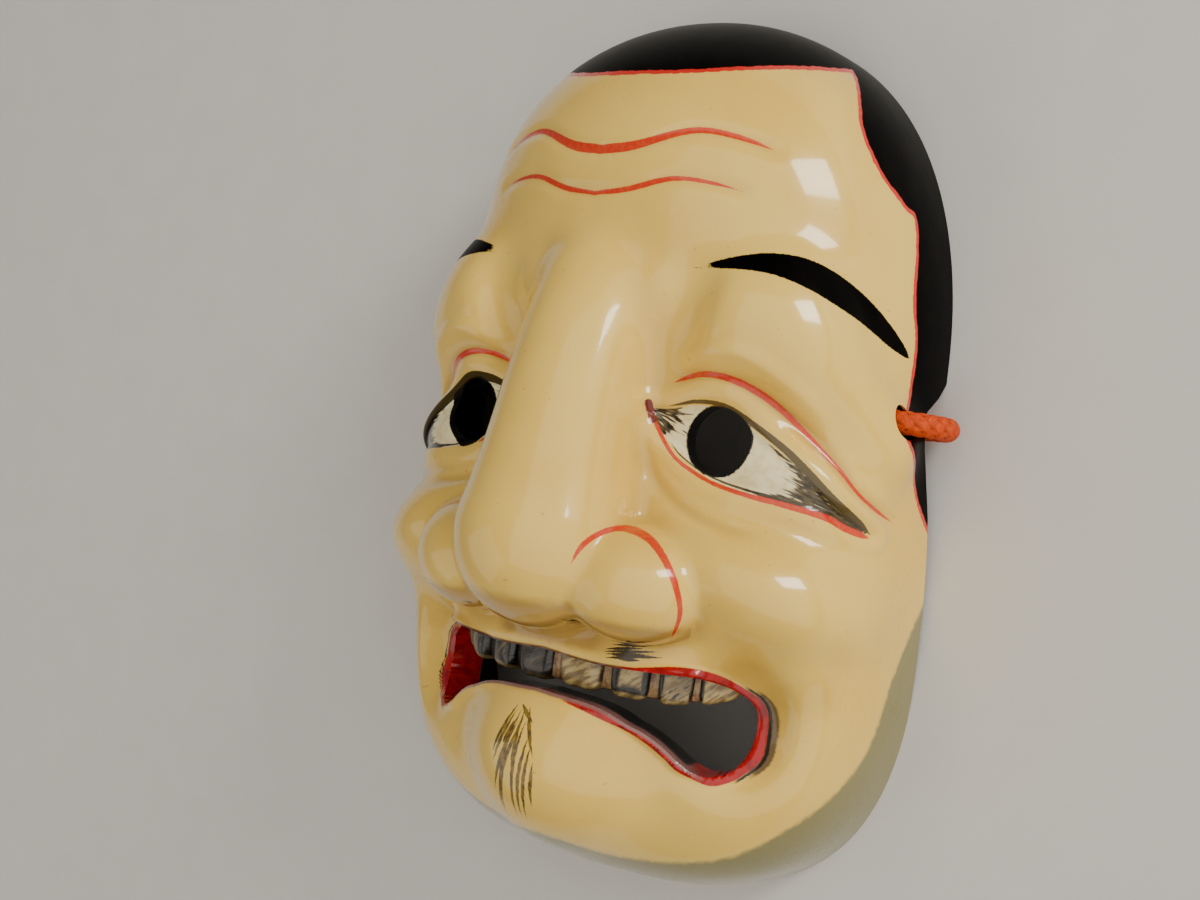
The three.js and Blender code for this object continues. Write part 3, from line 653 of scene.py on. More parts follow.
def measure_lines(piece, p, turn, scale):
    """Measure the brush lines at the points of the shell, and hide what falls on another form than theirs."""
    w, y = np.abs(turn), p[:, 1]
    for name, specs in BRUSH_LINES.items():
        d, half = brush_lines(specs, w, y, scale)
        hidden = (y < -38) & (p[:, 2] < 66)
        if name == "red":
            hidden = (w < 35) & (y < -37)
            low_lid = (w < 70) & (y > -14) & (y < 0)
            faded = np.maximum(smooth_step(-24, -31, y), low_lid * smooth_step(36, 41, w))
            half = half - 2.0 * (turn < 0) * faded      # the left nose line and the left lower lid fade out
        set_values(piece, name, d)
        set_values(piece, f"{name}_half", np.where(hidden, NO_LINE, half))


def measure_paint(piece):
    """Measure every painted shape at the points of the shell."""
    p = piece_points(piece)
    turn = around(p)
    w, y = np.abs(turn), p[:, 1]
    scale = np.hypot(p[:, 0], np.maximum(p[:, 2], 0)) / ROLL_RADIUS
    lift = carving(w, y)
    set_values(piece, "place", np.stack([turn, y, p[:, 2]], -1))
    set_values(piece, "depth", -(face(p) - lift))
    set_values(piece, "inner", hollow(p))
    set_values(piece, "lift", lift)
    # how hollow the face is, for the painted shade in its dips
    set_values(piece, "valley", valley(p))
    hairline = np.vstack([smooth_line(HAIR_TOP), smooth_line(HAIR_SIDE)[1:]])
    set_values(piece, "hair", beyond(hairline, HAIR_BEYOND, w, y, scale))
    tip = (turn < 0) * smooth_step(48, 34, w)      # the left brow starts further out and higher
    brow = -signed(smooth_line([*BROW, BROW[0]], 4), w - 3 * tip, y - 1.5 * tip, scale, closed=True)
    set_values(piece, "brow", brow)
    # which way each point faces, for the painted shadow under the nose
    facing = slopes(face, p)[:, 1]
    under = smooth_step(-0.45, -0.8, facing) * (y < -36) * (y > -52) * (w < 42)
    set_values(piece, "under", under)
    measure_lines(piece, p, turn, scale)
    d, _ = nearest(smooth_line(INNER_CORNER), w, y)
    set_values(piece, "spot", 1.0 - np.abs(d))
    set_values(piece, "eye", -signed(EYE_OUTLINE, w, y, scale, closed=True))
    lean = math.sin(math.radians(PUPIL["turn"]))
    ahead = p[:, 2] - PUPIL["z"]
    off = np.hypot(np.abs(p[:, 0]) - PUPIL["x"] - ahead * lean, y - PUPIL["y"])
    set_values(piece, "pupil", off - pupil_radius(ahead))
    set_values(piece, "lips", -signed(smooth_line(LIPS), w, y, scale))
    set_values(piece, "mouth", signed(smooth_line(MOUTH), w, y, scale))
    set_values(piece, "jaw", beyond(smooth_line(JAW_EDGE), JAW_BEYOND, w, y, scale))


# ---- materials ----
def sign(operation):
    """A sign between two values and its reflected form, each of which adds a Math node."""
    return (lambda self, other: self.calc(operation, self, other),
            lambda self, other: self.calc(operation, other, self))


class Shade:
    """A value inside a material: it wraps a socket, so that sums can be written with plain signs."""

    def __init__(self, tree, socket=None):
        self.tree = tree
        self.socket = socket

    def add(self, kind, settings, inputs, output=0):
        """Add any other node: its settings first, then its values and links."""
        node = self.tree.nodes.new(kind)
        for name, value in settings.items():
            setattr(node, name, value)
        for key, value in inputs.items():
            if isinstance(value, Shade):
                self.tree.links.new(value.socket, node.inputs[key])
            else:
                node.inputs[key].default_value = value
        return Shade(self.tree, node.outputs[output])

    def calc(self, operation, *values):
        return self.add("ShaderNodeMath", {"operation": operation}, dict(enumerate(values)))

    __add__, __radd__ = sign("ADD")
    __sub__, __rsub__ = sign("SUBTRACT")
    __mul__, __rmul__ = sign("MULTIPLY")

    def __abs__(self):
        return self.calc("ABSOLUTE", self)

    def attribute(self, name):
        return self.add("ShaderNodeAttribute", {"attribute_name": name}, {}, 2)

    def parts(self, name):
        """The three numbers of a vector attribute."""
        vector = self.add("ShaderNodeAttribute", {"attribute_name": name}, {}, 1)
        return [self.add("ShaderNodeSeparateXYZ", {}, {0: vector}, i) for i in range(3)]

    def join(self, x=0.0, y=0.0, z=0.0):
        return self.add("ShaderNodeCombineXYZ", {}, {0: x, 1: y, 2: z})

    def noise(self, vector, scale=1.0, detail=2.0, roughness=0.5):
        return self.add("ShaderNodeTexNoise", {}, {"Vector": vector, "Scale": scale, "Detail": detail,
                                                   "Roughness": roughness})

    def ramp(self, value, low, high, start=0.0, end=1.0):
        """A smooth change from start to end while the value goes from low to high."""
        return self.add("ShaderNodeMapRange", {"interpolation_type": "SMOOTHSTEP"},
                        {"Value": value, "From Min": low, "From Max": high, "To Min": start, "To Max": end})

    def mix(self, under, over, share):
        return self.add("ShaderNodeMix", {"data_type": "RGBA"}, {0: share, 6: under, 7: over}, 2)

    def polar(self, w, y, centre_w, centre_y):
        """Distance and angle of a place about a centre."""
        dw, dy = w - centre_w, y - centre_y
        return self.calc("SQRT", dw * dw + dy * dy), self.calc("ARCTAN2", dy, dw)

    def dot(self, vector, along):
        return self.add("ShaderNodeVectorMath", {"operation": "DOT_PRODUCT"}, {0: vector, 1: along}, 1)

    def brushed(self, name):
        """How far inside a brush line of that name a place is."""
        return self.attribute(f"{name}_half") - abs(self.attribute(name))

    def strokes(self, vector, lines, half_width):
        """How far inside the nearest of some single brush strokes a place is."""
        best = None
        for start, end in lines:
            middle, half = (Vector(start) + Vector(end)) / 2, (Vector(end) - Vector(start)) / 2
            size = half.length
            along = self.dot(vector, (half.x / size ** 2, half.y / size ** 2, 0)) - middle.dot(half) / size ** 2
            across = self.dot(vector, (-half.y / size, half.x / size, 0)) - half.cross(middle) / size
            inside = self.calc("MULTIPLY_ADD", along * along, -half_width, half_width) - abs(across)
            best = inside if best is None else self.calc("MAXIMUM", best, inside)
        return best

    def coat(self, values):
        """The shader of one surface."""
        return self.add("ShaderNodeBsdfPrincipled", {}, values)


def new_material(name, paint, *tints):
    """A material made by a function that returns its shader, with the colours that a user may change."""
    material = bpy.data.materials.new(name)
    material.use_nodes = True
    nodes = material.node_tree.nodes
    nodes.clear()
    output = nodes.new("ShaderNodeOutputMaterial")
    surface = paint(Shade(material.node_tree), *(tuple(tint) for tint in tints))
    material.node_tree.links.new(surface.socket, output.inputs[0])
    return material


CREAM = colour(248, 208, 100)
CREAM_DEEP = colour(241, 197, 84)
# brown of the painted shade in dips and grooves, also used for small specks of the ground's own tone
SHADE_AND_SPECK = colour(178, 138, 48)
NOSE_SHADE = colour(146, 104, 54)
BLACK = colour(2, 2, 2)
RED = colour(216, 30, 8)
LIP_RED = colour(180, 6, 12)
OLIVE = colour(96, 82, 48)
OLIVE_DARK = colour(44, 36, 22)
JAW_GREY = colour(142, 134, 82)
WHITE = colour(250, 236, 186)
MAUVE = colour(142, 100, 96)
MAROON = colour(84, 34, 26)
INSIDE = colour(30, 21, 16)
WOOD = colour(150, 112, 70)
ORANGE = colour(228, 88, 16)


def base_paint(s, ground, turn, y, flat, wobble, ragged, patches):
    """The cream ground with painted shade in its dips, grooves and mouth corners and under the nose, and the grey
    band along the jaw.
    """
    w = abs(turn)
    paint = s.mix(ground, CREAM_DEEP, s.ramp(patches, 0.35, 0.7, 0.0, 0.8))
    # painted shade in the face's dips
    dip = s.ramp(s.attribute("valley") + wobble * 0.3, 0.1, 1.6, 0.0, 0.45)
    paint = s.mix(paint, SHADE_AND_SPECK, dip)
    # painted shade in the carved grooves
    paint = s.mix(paint, SHADE_AND_SPECK, s.ramp(s.attribute("lift"), -0.35, -1.3, 0.0, 0.35))
    # painted shade in the hollow beside each mouth corner
    corner, _ = s.polar(w, y, 69.0, -52.0)
    paint = s.mix(paint, SHADE_AND_SPECK, s.ramp(corner + wobble * 5, 9.0, 1.0, 0.0, 0.25))
    # painted shadow under the nose: on its underside and on the upper lip just below it
    below = s.ramp(y + wobble, -50.4, -48.4) * s.ramp(y, -43.0, -45.0) * s.ramp(w + wobble * 3, 22.0, 14.0)
    below = s.calc("MAXIMUM", below, s.ramp(s.attribute("under") + wobble * 0.3, 0.2, 0.9))
    paint = s.mix(paint, NOSE_SHADE, below * 0.62)
    # small darker specks of the ground's own tone
    paint = s.mix(paint, SHADE_AND_SPECK, s.ramp(s.noise(flat, 0.55, 1), 0.76, 0.8, 0.0, 0.4))
    jaw = s.ramp(s.attribute("jaw") + wobble * 1.6 + ragged * 0.5, -1.0, 1.0)
    return s.mix(paint, s.mix(JAW_GREY, colour(130, 121, 72), patches), jaw)


def eye_paint(s, paint, w, y, wobble, ragged, left):
    """The white of the eye, its hatching, ring and dark lid lines, and where the ink on it is black."""
    eye = s.attribute("eye")
    white = s.mix(WHITE, colour(236, 216, 156), s.ramp(wobble, -0.1, 0.2))
    inside = s.ramp(eye + ragged * 0.25, 0.0, 0.3)
    paint = s.mix(paint, white, inside)
    reach, angle = s.polar(w, y, 21.5, 12.0)
    lengths = s.noise(s.join(angle * 7, reach * 0.12, 3.0), 1.0, 2, 0.6)
    streaks = s.noise(s.join(angle * 16, reach * 0.2, 9.0), 1.0, 1)
    inner = s.ramp(reach - lengths * 19, 0.5, -0.5) * s.ramp(streaks, 0.3, 0.44)
    reach, angle = s.polar(w, y, 84.0, -12.8)
    lengths = s.noise(s.join(angle * 26, reach * 0.08, 5.0), 1.0, 2, 0.6)
    limit = 17.5 + lengths * 21 + s.ramp(eye, 2.2, 0.4, 0.0, 9.0)
    streaks = s.noise(s.join(angle * 60, reach * 0.22, 9.0), 1.0, 2)
    dense = s.ramp(reach, 34.0, 10.0, 0.4, 0.08)
    outer = s.ramp(reach - limit, 1.2, -1.2) * s.ramp(streaks - dense, 0.0, 0.12)
    brown = s.mix(OLIVE, OLIVE_DARK, s.ramp(s.noise(s.join(angle * 40, reach * 0.4, 1.0), 1.0, 2), 0.35, 0.65))
    brown = s.mix(brown, BLACK, left * 0.9)
    paint = s.mix(paint, brown, s.calc("MAXIMUM", inner, outer) * inside)
    ring_edge = 0.35 + ragged * 0.8 + left * s.ramp(w, 34.0, 46.0, 0.0, 2.3)
    ring = s.ramp(s.attribute("pupil") - ring_edge, 0.15, -0.15) * s.ramp(eye, -0.9, -0.3)
    paint = s.mix(paint, BLACK, ring)
    upper = s.ramp(s.brushed("upper_dark") + ragged * 0.25 + left * 0.7, -0.05, 0.14)
    lower = s.ramp(s.brushed("lower_dark") + ragged * 0.25, -0.05, 0.14)
    lines = s.calc("MAXIMUM", upper, lower)
    paint = s.mix(paint, s.mix(s.mix(OLIVE_DARK, OLIVE, 0.35), BLACK, left * 0.9), lines * 0.94)
    return paint, s.calc("MAXIMUM", ring, upper) * left


def lip_paint(s, paint, turn, y, wobble, ragged, left, red):
    """The red lips, which begin further out on the left, with their dark outline at the corners."""
    w = abs(turn)
    lips, mouth = s.attribute("lips"), s.attribute("mouth")
    upper = s.ramp(y, -58.5, -57.0)
    begins = upper * (24.0 + left * 25.0) + (1.0 - upper) * (9.5 + left * 41.5)
    band = s.ramp(lips + ragged * 0.25, 0.1, 0.4) * s.ramp(w + wobble * 3 - begins, -1.5, 2.0)
    beside = s.ramp(lips + ragged * 0.3, -1.3, -0.95) * s.ramp(w + wobble * 2, 61.0, 63.5)
    paint = s.mix(paint, colour(122, 100, 66), beside * (1.0 - left) * s.ramp(y, -75.0, -72.0))
    outline = s.ramp(abs(lips + 0.1 + ragged * 0.3) + left * 0.16, 0.42, 0.2) * s.ramp(w + wobble * 4, 57.5, 61.0)
    paint = s.mix(paint, red, band)
    paint = s.mix(paint, OLIVE_DARK, outline)
    thin = s.ramp(mouth + ragged * 0.2, 0.75, 0.5) * upper * (1.0 - band)
    paint = s.mix(paint, MAROON, thin * 0.75)
    lower = s.ramp(mouth + ragged * 0.3, 1.0, 0.6) * (1.0 - upper) * s.ramp(w, 54.0, 48.0)
    return s.mix(paint, MAUVE, lower * s.ramp(turn + wobble * 4, -38.0, -20.0, 0.0, 0.9))


def hair_paint(s, paint, red, flat, wobble, ragged):
    """The black brows and hair with a thin red line beside them, and how black each place is."""
    brow = s.ramp(s.attribute("brow") + ragged * 0.5, -0.12, 0.12)
    hair = s.attribute("hair") + wobble * 0.9
    paint = s.mix(paint, red, s.ramp(hair + ragged * 0.5, -1.35, -1.05))
    black = s.calc("MAXIMUM", brow, s.ramp(hair, -0.12, 0.12))
    locks = s.mix(BLACK, colour(8, 5, 4), s.ramp(s.noise(flat, 0.12, 3), 0.4, 0.7))
    return s.mix(paint, locks, black), black


def lacquer(s, ground, line_red, lip_red):
    """The painted and lacquered outside, the walls of the openings and the dark hollow."""
    turn, y, z = s.parts("place")
    w = abs(turn)
    flat = s.join(turn, y, z)
    wobble = s.noise(flat, 0.45, 3) - 0.5
    ragged = s.noise(flat, 1.6, 3) - 0.5
    patches = s.noise(flat, 0.035, 3)
    left = s.ramp(turn, 1.0, -1.0)
    depth, inner = s.attribute("depth"), s.attribute("inner")

    paint = base_paint(s, ground, turn, y, flat, wobble, ragged, patches)
    paint, ink = eye_paint(s, paint, w, y, wobble, ragged, left)
    red_tone = s.mix(line_red, colour(220, 58, 24), s.ramp(s.noise(flat, 0.8, 2), 0.45, 0.62))
    red_edge = s.brushed("red") + ragged * 0.3 + wobble * 0.2
    paint = s.mix(paint, red_tone, s.ramp(red_edge, -0.08, 0.12, 0.0, 0.95))
    paint = s.mix(paint, colour(112, 26, 16), s.ramp(s.attribute("spot") + ragged * 0.5, -0.1, 0.2))

    lip_tone = s.mix(lip_red, colour(140, 4, 12), s.ramp(s.noise(flat, 0.3, 2), 0.4, 0.7))
    paint = lip_paint(s, paint, turn, y, wobble, ragged, left, lip_tone)
    shaken = s.join(w + wobble * 0.5, y + wobble * 0.4, 0.0)
    beard = s.ramp(s.strokes(shaken, MOUSTACHE, 0.42) + ragged * 0.3, -0.05, 0.12)
    paint = s.mix(paint, colour(26, 20, 14), beard * (1.0 - left) * 0.95)
    shaken = s.join(turn + wobble * 0.7, y, 0.0)
    tuft = s.ramp(s.strokes(shaken, CHIN_TUFT, 0.6) + ragged * 0.35, -0.08, 0.14)
    tuft_tone = s.mix(colour(126, 98, 36), colour(62, 48, 20), s.ramp(s.noise(flat, 0.6, 2), 0.4, 0.6))
    paint = s.mix(paint, tuft_tone, tuft * 0.92)
    paint, black = hair_paint(s, paint, line_red, flat, wobble, ragged)
    black = s.calc("MAXIMUM", black, ink)

    at_mouth = s.ramp(y, -44.0, -46.0) * s.ramp(w, 72.0, 69.0)
    upper = s.ramp(y, -58.0, -55.0)
    low_wall = s.mix(MAUVE, lip_tone, s.ramp(w, 46.0, 52.0))
    high_wall = s.mix(MAROON, lip_tone, s.ramp(w - left * 26.0, 20.0, 27.0))
    shown = s.ramp(w, 46.0, 54.0, 3.2, 11.0)
    wall = s.mix(BLACK, s.mix(low_wall, high_wall, upper), at_mouth * s.ramp(depth - shown, 1.2, -0.8))
    paint = s.mix(paint, wall, s.ramp(depth, 0.35, 0.8))
    gouges = s.noise(s.join(turn * 0.09, y * 0.03, z * 0.05), 1.0, 2)
    matt = s.ramp(inner, 0.5, 0.15)
    paint = s.mix(paint, s.mix(INSIDE, colour(18, 13, 10), gouges), matt)
    rim = s.ramp(z, 0.4, 0.05) * s.ramp(depth, 0.3, 0.8)
    paint = s.mix(paint, s.mix(WOOD, colour(96, 66, 38), s.noise(s.join(turn, y * 0.1, z), 1.2, 3)), rim)

    rough = s.ramp(patches + wobble * 0.3, 0.2, 0.8, 0.2, 0.3) + matt * 0.3 + rim * 0.4
    tool_marks = s.add("ShaderNodeTexVoronoi", {"feature": "SMOOTH_F1"},
                       {"Vector": s.join(turn * 0.1, y * 0.055, z * 0.1), "Scale": 1.0, "Smoothness": 0.35})
    height = s.noise(flat, 0.09, 1) * 0.08 + s.noise(flat, 0.7, 2) * 0.02 + tool_marks * matt * 1.6
    bump = s.add("ShaderNodeBump", {}, {"Strength": 1.0, "Distance": MM, "Height": height})
    painted = s.coat({"Base Color": paint, "Roughness": rough, "Specular IOR Level": 0.25, "Coat Weight": 0.9,
                      "Coat Roughness": 0.075, "Coat IOR": 1.45, "Normal": bump})
    inked = s.coat({"Base Color": paint, "Roughness": 0.34, "Specular IOR Level": 0.03, "Coat Weight": 0.01,
                    "Coat Roughness": 0.08, "Normal": bump})
    return s.add("ShaderNodeMixShader", {}, {0: black, 1: painted, 2: inked})


def tooth_paint(s):
    """Teeth in dark lacquer with tan streaks, dark outlines and a tan lower edge; painted shade darkens the left
    side.
    """
    across, up, number = s.parts("tooth")
    share, outline, _ = s.parts("look")
    wobble = s.noise(s.join(across * 1.4, up * 1.4, number * 3.1), 1.0, 3) - 0.5
    streaks = s.noise(s.join(across * 1.1 + up * 0.9, up * 5 - across * 2.5, number * 7.7), 1.0, 3)
    tan = s.mix(colour(196, 172, 112), colour(122, 100, 60), s.ramp(streaks, 0.38, 0.62))
    dark = s.mix(colour(34, 27, 23), colour(92, 80, 66), s.ramp(streaks, 0.45, 0.7))
    middle = s.mix(dark, tan, s.ramp(streaks + wobble * 0.3 + share, 0.78, 0.98))
    edge = s.calc("MAXIMUM", abs(across), abs(up) * 0.92) + wobble * 0.4
    body = s.mix(middle, colour(20, 15, 13), s.ramp(edge - outline, -0.04, 0.1))
    low = s.ramp(up + wobble * 0.15, -0.76, -0.88)
    body = s.mix(body, tan, low * s.ramp(share, 0.1, 0.5, 0.25, 0.75))
    # the gum between the teeth, darker on the left as painted shade
    gap = s.ramp(abs(across), 1.5, 2.0)
    flesh = s.mix(colour(172, 140, 96), colour(112, 58, 46), s.ramp(wobble, -0.05, 0.2))
    body = s.mix(body, s.mix(flesh, colour(44, 30, 24), s.ramp(share, 0.5, 0.2)), gap)
    bump = s.add("ShaderNodeBump", {}, {"Strength": 0.8, "Distance": MM * 0.6, "Height": streaks + wobble})
    return s.coat({"Base Color": body, "Roughness": s.ramp(streaks, 0.3, 0.7, 0.25, 0.45), "Coat Weight": 0.6,
                   "Coat Roughness": 0.12, "Normal": bump})


def braid(s, orange):
    """Orange braided cord: each strand is shaded by its height, with fine threads along it."""
    height, along, which = s.parts("braid")
    threads = s.noise(s.join(along, which * 9.0, 0.0), 1.0, 2)
    tone = s.mix(colour(196, 52, 4), orange, s.ramp(threads, 0.35, 0.65))
    # painted shade: each strand is darker where it dips under the others
    tone = s.mix(colour(84, 12, 1), tone, s.ramp(height, 0.25, 0.8))
    soil = s.noise(s.join(along * 0.02, which * 0.3, 2.0), 1.0, 3)
    tone = s.mix(tone, colour(150, 56, 18), s.ramp(soil, 0.5, 0.75, 0.0, 0.6))
    bump = s.add("ShaderNodeBump", {}, {"Strength": 0.6, "Distance": MM * 0.25, "Height": threads})
    return s.coat({"Base Color": tone, "Roughness": s.ramp(threads, 0.3, 0.7, 0.5, 0.7),
                   "Specular IOR Level": 0.25, "Normal": bump})


def paper(s):
    """The pale paper of the floor."""
    where = s.add("ShaderNodeTexCoord", {}, {}, 3)
    grain = s.noise(where, 60.0, 4)
    tone = s.mix(colour(216, 214, 210), colour(224, 222, 218), grain)
    return s.coat({"Base Color": tone, "Roughness": s.ramp(grain, 0.3, 0.7, 0.7, 0.85)})


# ---- teeth ----
def squared(value, power=0.5):
    """A sine or cosine pushed towards the sides of a square."""
    return np.sign(value) * np.abs(value) ** power


def tooth_points(side, number, seeded):
    """One tooth as a rounded block, with its own places across and up it."""
    start, end = TEETH[number]
    turns, rings = 40, 24
    theta = np.linspace(0, 2 * math.pi, turns, endpoint=False)[:, None]
    phi = np.linspace(-math.pi / 2 + 0.02, math.pi / 2 - 0.02, rings)[None, :]
    x = squared(np.cos(theta)) * squared(np.cos(phi))
    z = squared(np.sin(theta)) * squared(np.cos(phi))
    y = squared(np.sin(phi)) * np.ones_like(theta)
    w = (start + end) / 2
    reach = float(reach_at(w, TOOTH["gum"])) - TOOTH["back"]
    wide = (end - start) / 2 * reach / ROLL_RADIUS - TOOTH["gap"]
    wave = 0.5 * np.sin(x * 2.2 + seeded.uniform(0, 6)) * np.cos(y * 2.0 + seeded.uniform(0, 6))
    bottom = np.interp(w + side * x * (end - start) / 2, *TOOTH_BOTTOM) + 0.35 * seeded.uniform(0, 1) * np.cos(x * 2)
    tall = bottom + (y + 1) / 2 * (TOOTH["top"] - bottom)
    points = np.stack([x * wide, tall, z * TOOTH["thickness"] / 2 + wave * 0.7 * (z > 0)], -1)
    angle = side * w / ROLL_RADIUS
    about = np.array([[math.cos(angle), 0, math.sin(angle)], [0, 1, 0], [-math.sin(angle), 0, math.cos(angle)]])
    points = points @ about.T
    points += (reach * math.sin(angle), 0, reach * math.cos(angle))
    places = np.stack([x, y, np.full(x.shape, side * (number + 0.5))], -1)
    looks = np.broadcast_to((*TOOTH_LOOKS[side][number], 0.0), x.shape + (3,))
    index = np.arange(turns * rings).reshape(turns, rings)
    after = np.roll(index, -1, axis=0)
    faces = np.stack([index[:, :-1], after[:, :-1], after[:, 1:], index[:, 1:]], -1).reshape(-1, 4).tolist()
    faces += [index[::-1, 0].tolist(), index[:, -1].tolist()]
    return points.reshape(-1, 3), places.reshape(-1, 3), looks.reshape(-1, 3), faces


def gum_points():
    """The strip between and behind the teeth."""
    last = TEETH[-1][1] - 1.5
    stations = np.linspace(-last, last, 100)
    reaches = reach_at(np.abs(stations), TOOTH["gum"]) - TOOTH["back"] + 1.2
    points = []
    for w, reach in zip(stations, reaches):
        angle = w / ROLL_RADIUS
        low = np.interp(abs(w), *TOOTH_BOTTOM)
        points += [((reach + out) * math.sin(angle), low + share * (TOOTH["top"] - low),
                    (reach + out) * math.cos(angle)) for out, share in GUM_SECTION]
    count = len(GUM_SECTION)
    faces = []
    for i in range(len(stations) - 1):
        for j in range(count):
            k = (j + 1) % count
            faces.append([i * count + j, i * count + k, (i + 1) * count + k, (i + 1) * count + j])
    end = (len(stations) - 1) * count
    faces += [list(range(count))[::-1], list(range(end, end + count))]
    places = np.zeros((len(points), 3))
    places[:, 0] = 2.5
    places[:, 1] = np.tile(GUM_SECTION[:, 1] * 4, len(stations))
    places[:, 2] = np.repeat(stations / 5, count)
    looks = np.zeros((len(points), 3))
    # the gum is tan on the right and dark on the left, as painted shade
    looks[:, 0] = np.repeat(smooth_step(-8, 6, stations), count)
    return np.array(points), places, looks, faces


def build_teeth(seed):
    """The gum and the eight upper teeth as one piece."""
    seeded = np.random.default_rng(seed)
    groups = [gum_points()]
    for side in (-1, 1):
        groups += [tooth_points(side, number, seeded) for number in range(len(TEETH))]
    points, places, looks, faces = [], [], [], []
    for group_points, group_places, group_looks, group_faces in groups:
        base = sum(len(part) for part in points)
        points.append(group_points)
        places.append(group_places)
        looks.append(group_looks)
        faces += [[base + i for i in ids] for ids in group_faces]
    piece = new_mesh("teeth", np.vstack(points), faces)
    set_values(piece, "tooth", np.vstack(places))
    set_values(piece, "look", np.vstack(looks))
    return piece


# ---- cords ----
def even_path(points, step):
    """Evenly spaced points along a line."""
    points = np.asarray(points, float)
    lengths = np.concatenate([[0], np.cumsum(np.linalg.norm(np.diff(points, axis=0), axis=1))])
    count = max(int(round(lengths[-1] / step)), 2)
    goals = np.linspace(0, lengths[-1], count + 1)
    return np.stack([np.interp(goals, lengths, points[:, axis]) for axis in range(3)], -1), lengths[-1]


def cord_route(side):
    """The cord's middle line from its stop knot, round the rim and through its coil to the end knot."""
    run = np.array(RUN, float)
    lift = COIL["lift"] if side < 0 else 0.0
    run[:, 2] += lift * smooth_step(9, len(RUN) - 1, np.arange(len(RUN)))
    start = math.atan2(run[-1, 1] - COIL["y"], run[-1, 0])
    far = math.hypot(run[-1, 1] - COIL["y"], run[-1, 0])
    turns = np.linspace(0.03, COIL["turns"], 60)
    radius = COIL["first"] + 0.9 - COIL["pitch"] * turns
    radius += (far - COIL["first"] - 0.9) * smooth_step(0.24, 0, turns)
    last = smooth_step(COIL["turns"] - 0.2, COIL["turns"], turns)
    radius += (KNOT["end_x"] + 3.2 - radius) * last
    angle = start + 2 * math.pi * turns
    height = run[-1, 2] + (KNOT["radius"] - run[-1, 2]) * last
    coil = np.stack([radius * np.cos(angle), COIL["y"] + radius * np.sin(angle), height], -1)
    route = smooth_line(np.vstack([run, coil]), 8)
    route[:, 0] *= side
    return route


def transported(points):
    """A direction across the line at each point, turned as little as possible from one to the next."""
    along = np.gradient(points, axis=0)
    along /= np.linalg.norm(along, axis=1, keepdims=True)
    across = np.cross(along[0], (0, 0, 1))
    if np.linalg.norm(across) < 1e-3:
        across = np.cross(along[0], (0, 1, 0))
    frames = []
    for direction in along:
        across = across - direction * (across @ direction)
        across /= np.linalg.norm(across)
        frames.append((across, np.cross(direction, across)))
    return np.array(frames)


def braided_tube(name, points, radius, settings):
    """A braided tube along evenly spaced points: strands that pass over and under each other."""
    sides = BRAID["sides"]
    step = np.linalg.norm(np.diff(points, axis=0), axis=1).mean()
    s = np.arange(len(points))[:, None] * step
    turn = np.linspace(0, 1, sides, endpoint=False)[None, :]
    strands = settings.strands
    right = turn * strands + s / settings.braid_pitch * strands
    left = turn * strands - s / settings.braid_pitch * strands
    over = np.cos(math.pi * (np.floor(right) + np.floor(left)))
    rise = [np.sqrt(np.clip(1 - (2 * (part % 1) - 1) ** 2, 0, 1)) for part in (right, left)]
    level, dip = 1 - BRAID["dip"], BRAID["dip"] * over
    heights = rise[0] * (level + dip), rise[1] * (level - dip)
    weave = np.maximum(*heights)
    out = radius * (BRAID["floor"] + BRAID["rise"] * weave)
    frames = transported(points)
    angle = turn * 2 * math.pi
    ring = np.cos(angle)[..., None] * frames[:, None, 0] + np.sin(angle)[..., None] * frames[:, None, 1]
    mesh_points = points[:, None, :] + ring * out[..., None]
    index = np.arange(len(points) * sides).reshape(len(points), sides)
    after = np.roll(index, -1, axis=1)
    quads = np.stack([index[:-1], after[:-1], after[1:], index[1:]], -1).reshape(-1, 4).tolist()
    quads += [index[0, ::-1].tolist(), index[-1].tolist()]
    piece = outward(new_mesh(name, mesh_points.reshape(-1, 3), quads))
    which = np.where(heights[0] > heights[1], right % 1, left % 1 + 3)
    values = np.stack([weave, np.broadcast_to(s, weave.shape), which], -1)
    set_values(piece, "braid", values.reshape(-1, 3))
    return piece


def knot_path(centre, axis, size):
    """A tight overhand knot with its tails tucked in, about a centre."""
    t = np.linspace(0.06, 2 * math.pi - 0.06, 90)
    x = np.sin(t) + 2 * np.sin(2 * t)
    y = np.cos(t) - 2 * np.cos(2 * t)
    z = -np.sin(3 * t) * 1.15
    points = np.stack([z, x, y], -1) * size / 3
    turn = Vector((1, 0, 0)).rotation_difference(Vector(axis)).to_matrix()
    return points @ np.array(turn).T + np.array(centre)


def build_cord(side, settings):
    """One tie cord with its two knots, which stand for the solids of the same names."""
    hand = "right" if side > 0 else "left"
    points, length = even_path(cord_route(side), CORD_STEP["cord"] * (1))
    tube = braided_tube(f"{hand}_cord", points, CORD["diameter"] / 2, settings)
    knots = []
    for place, centre, axis in (("stop", (side * KNOT["stop_x"], CORD["height"], CORD["depth"]), (side, 0, 0)),
                                ("end", (side * KNOT["end_x"], COIL["y"], KNOT["radius"]), (0, 1, 0))):
        path, _ = even_path(knot_path(centre, axis, KNOT["size"]), CORD_STEP["knot"])
        knot = braided_tube(f"{hand}_{place}_knot", path, KNOT["strand"], settings)
        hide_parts(f"{hand}_cord_{place}_knot")
        knots.append(knot)
    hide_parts(f"{hand}_cord_run", f"{hand}_cord_coil")
    path, _ = even_path(points, CORD_STEP["path"])
    material = bpy.data.materials.get("braid") or new_material("braid", braid, settings.orange)
    for piece in (tube, *knots):
        piece.data.materials.append(material)
        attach(piece, "root")


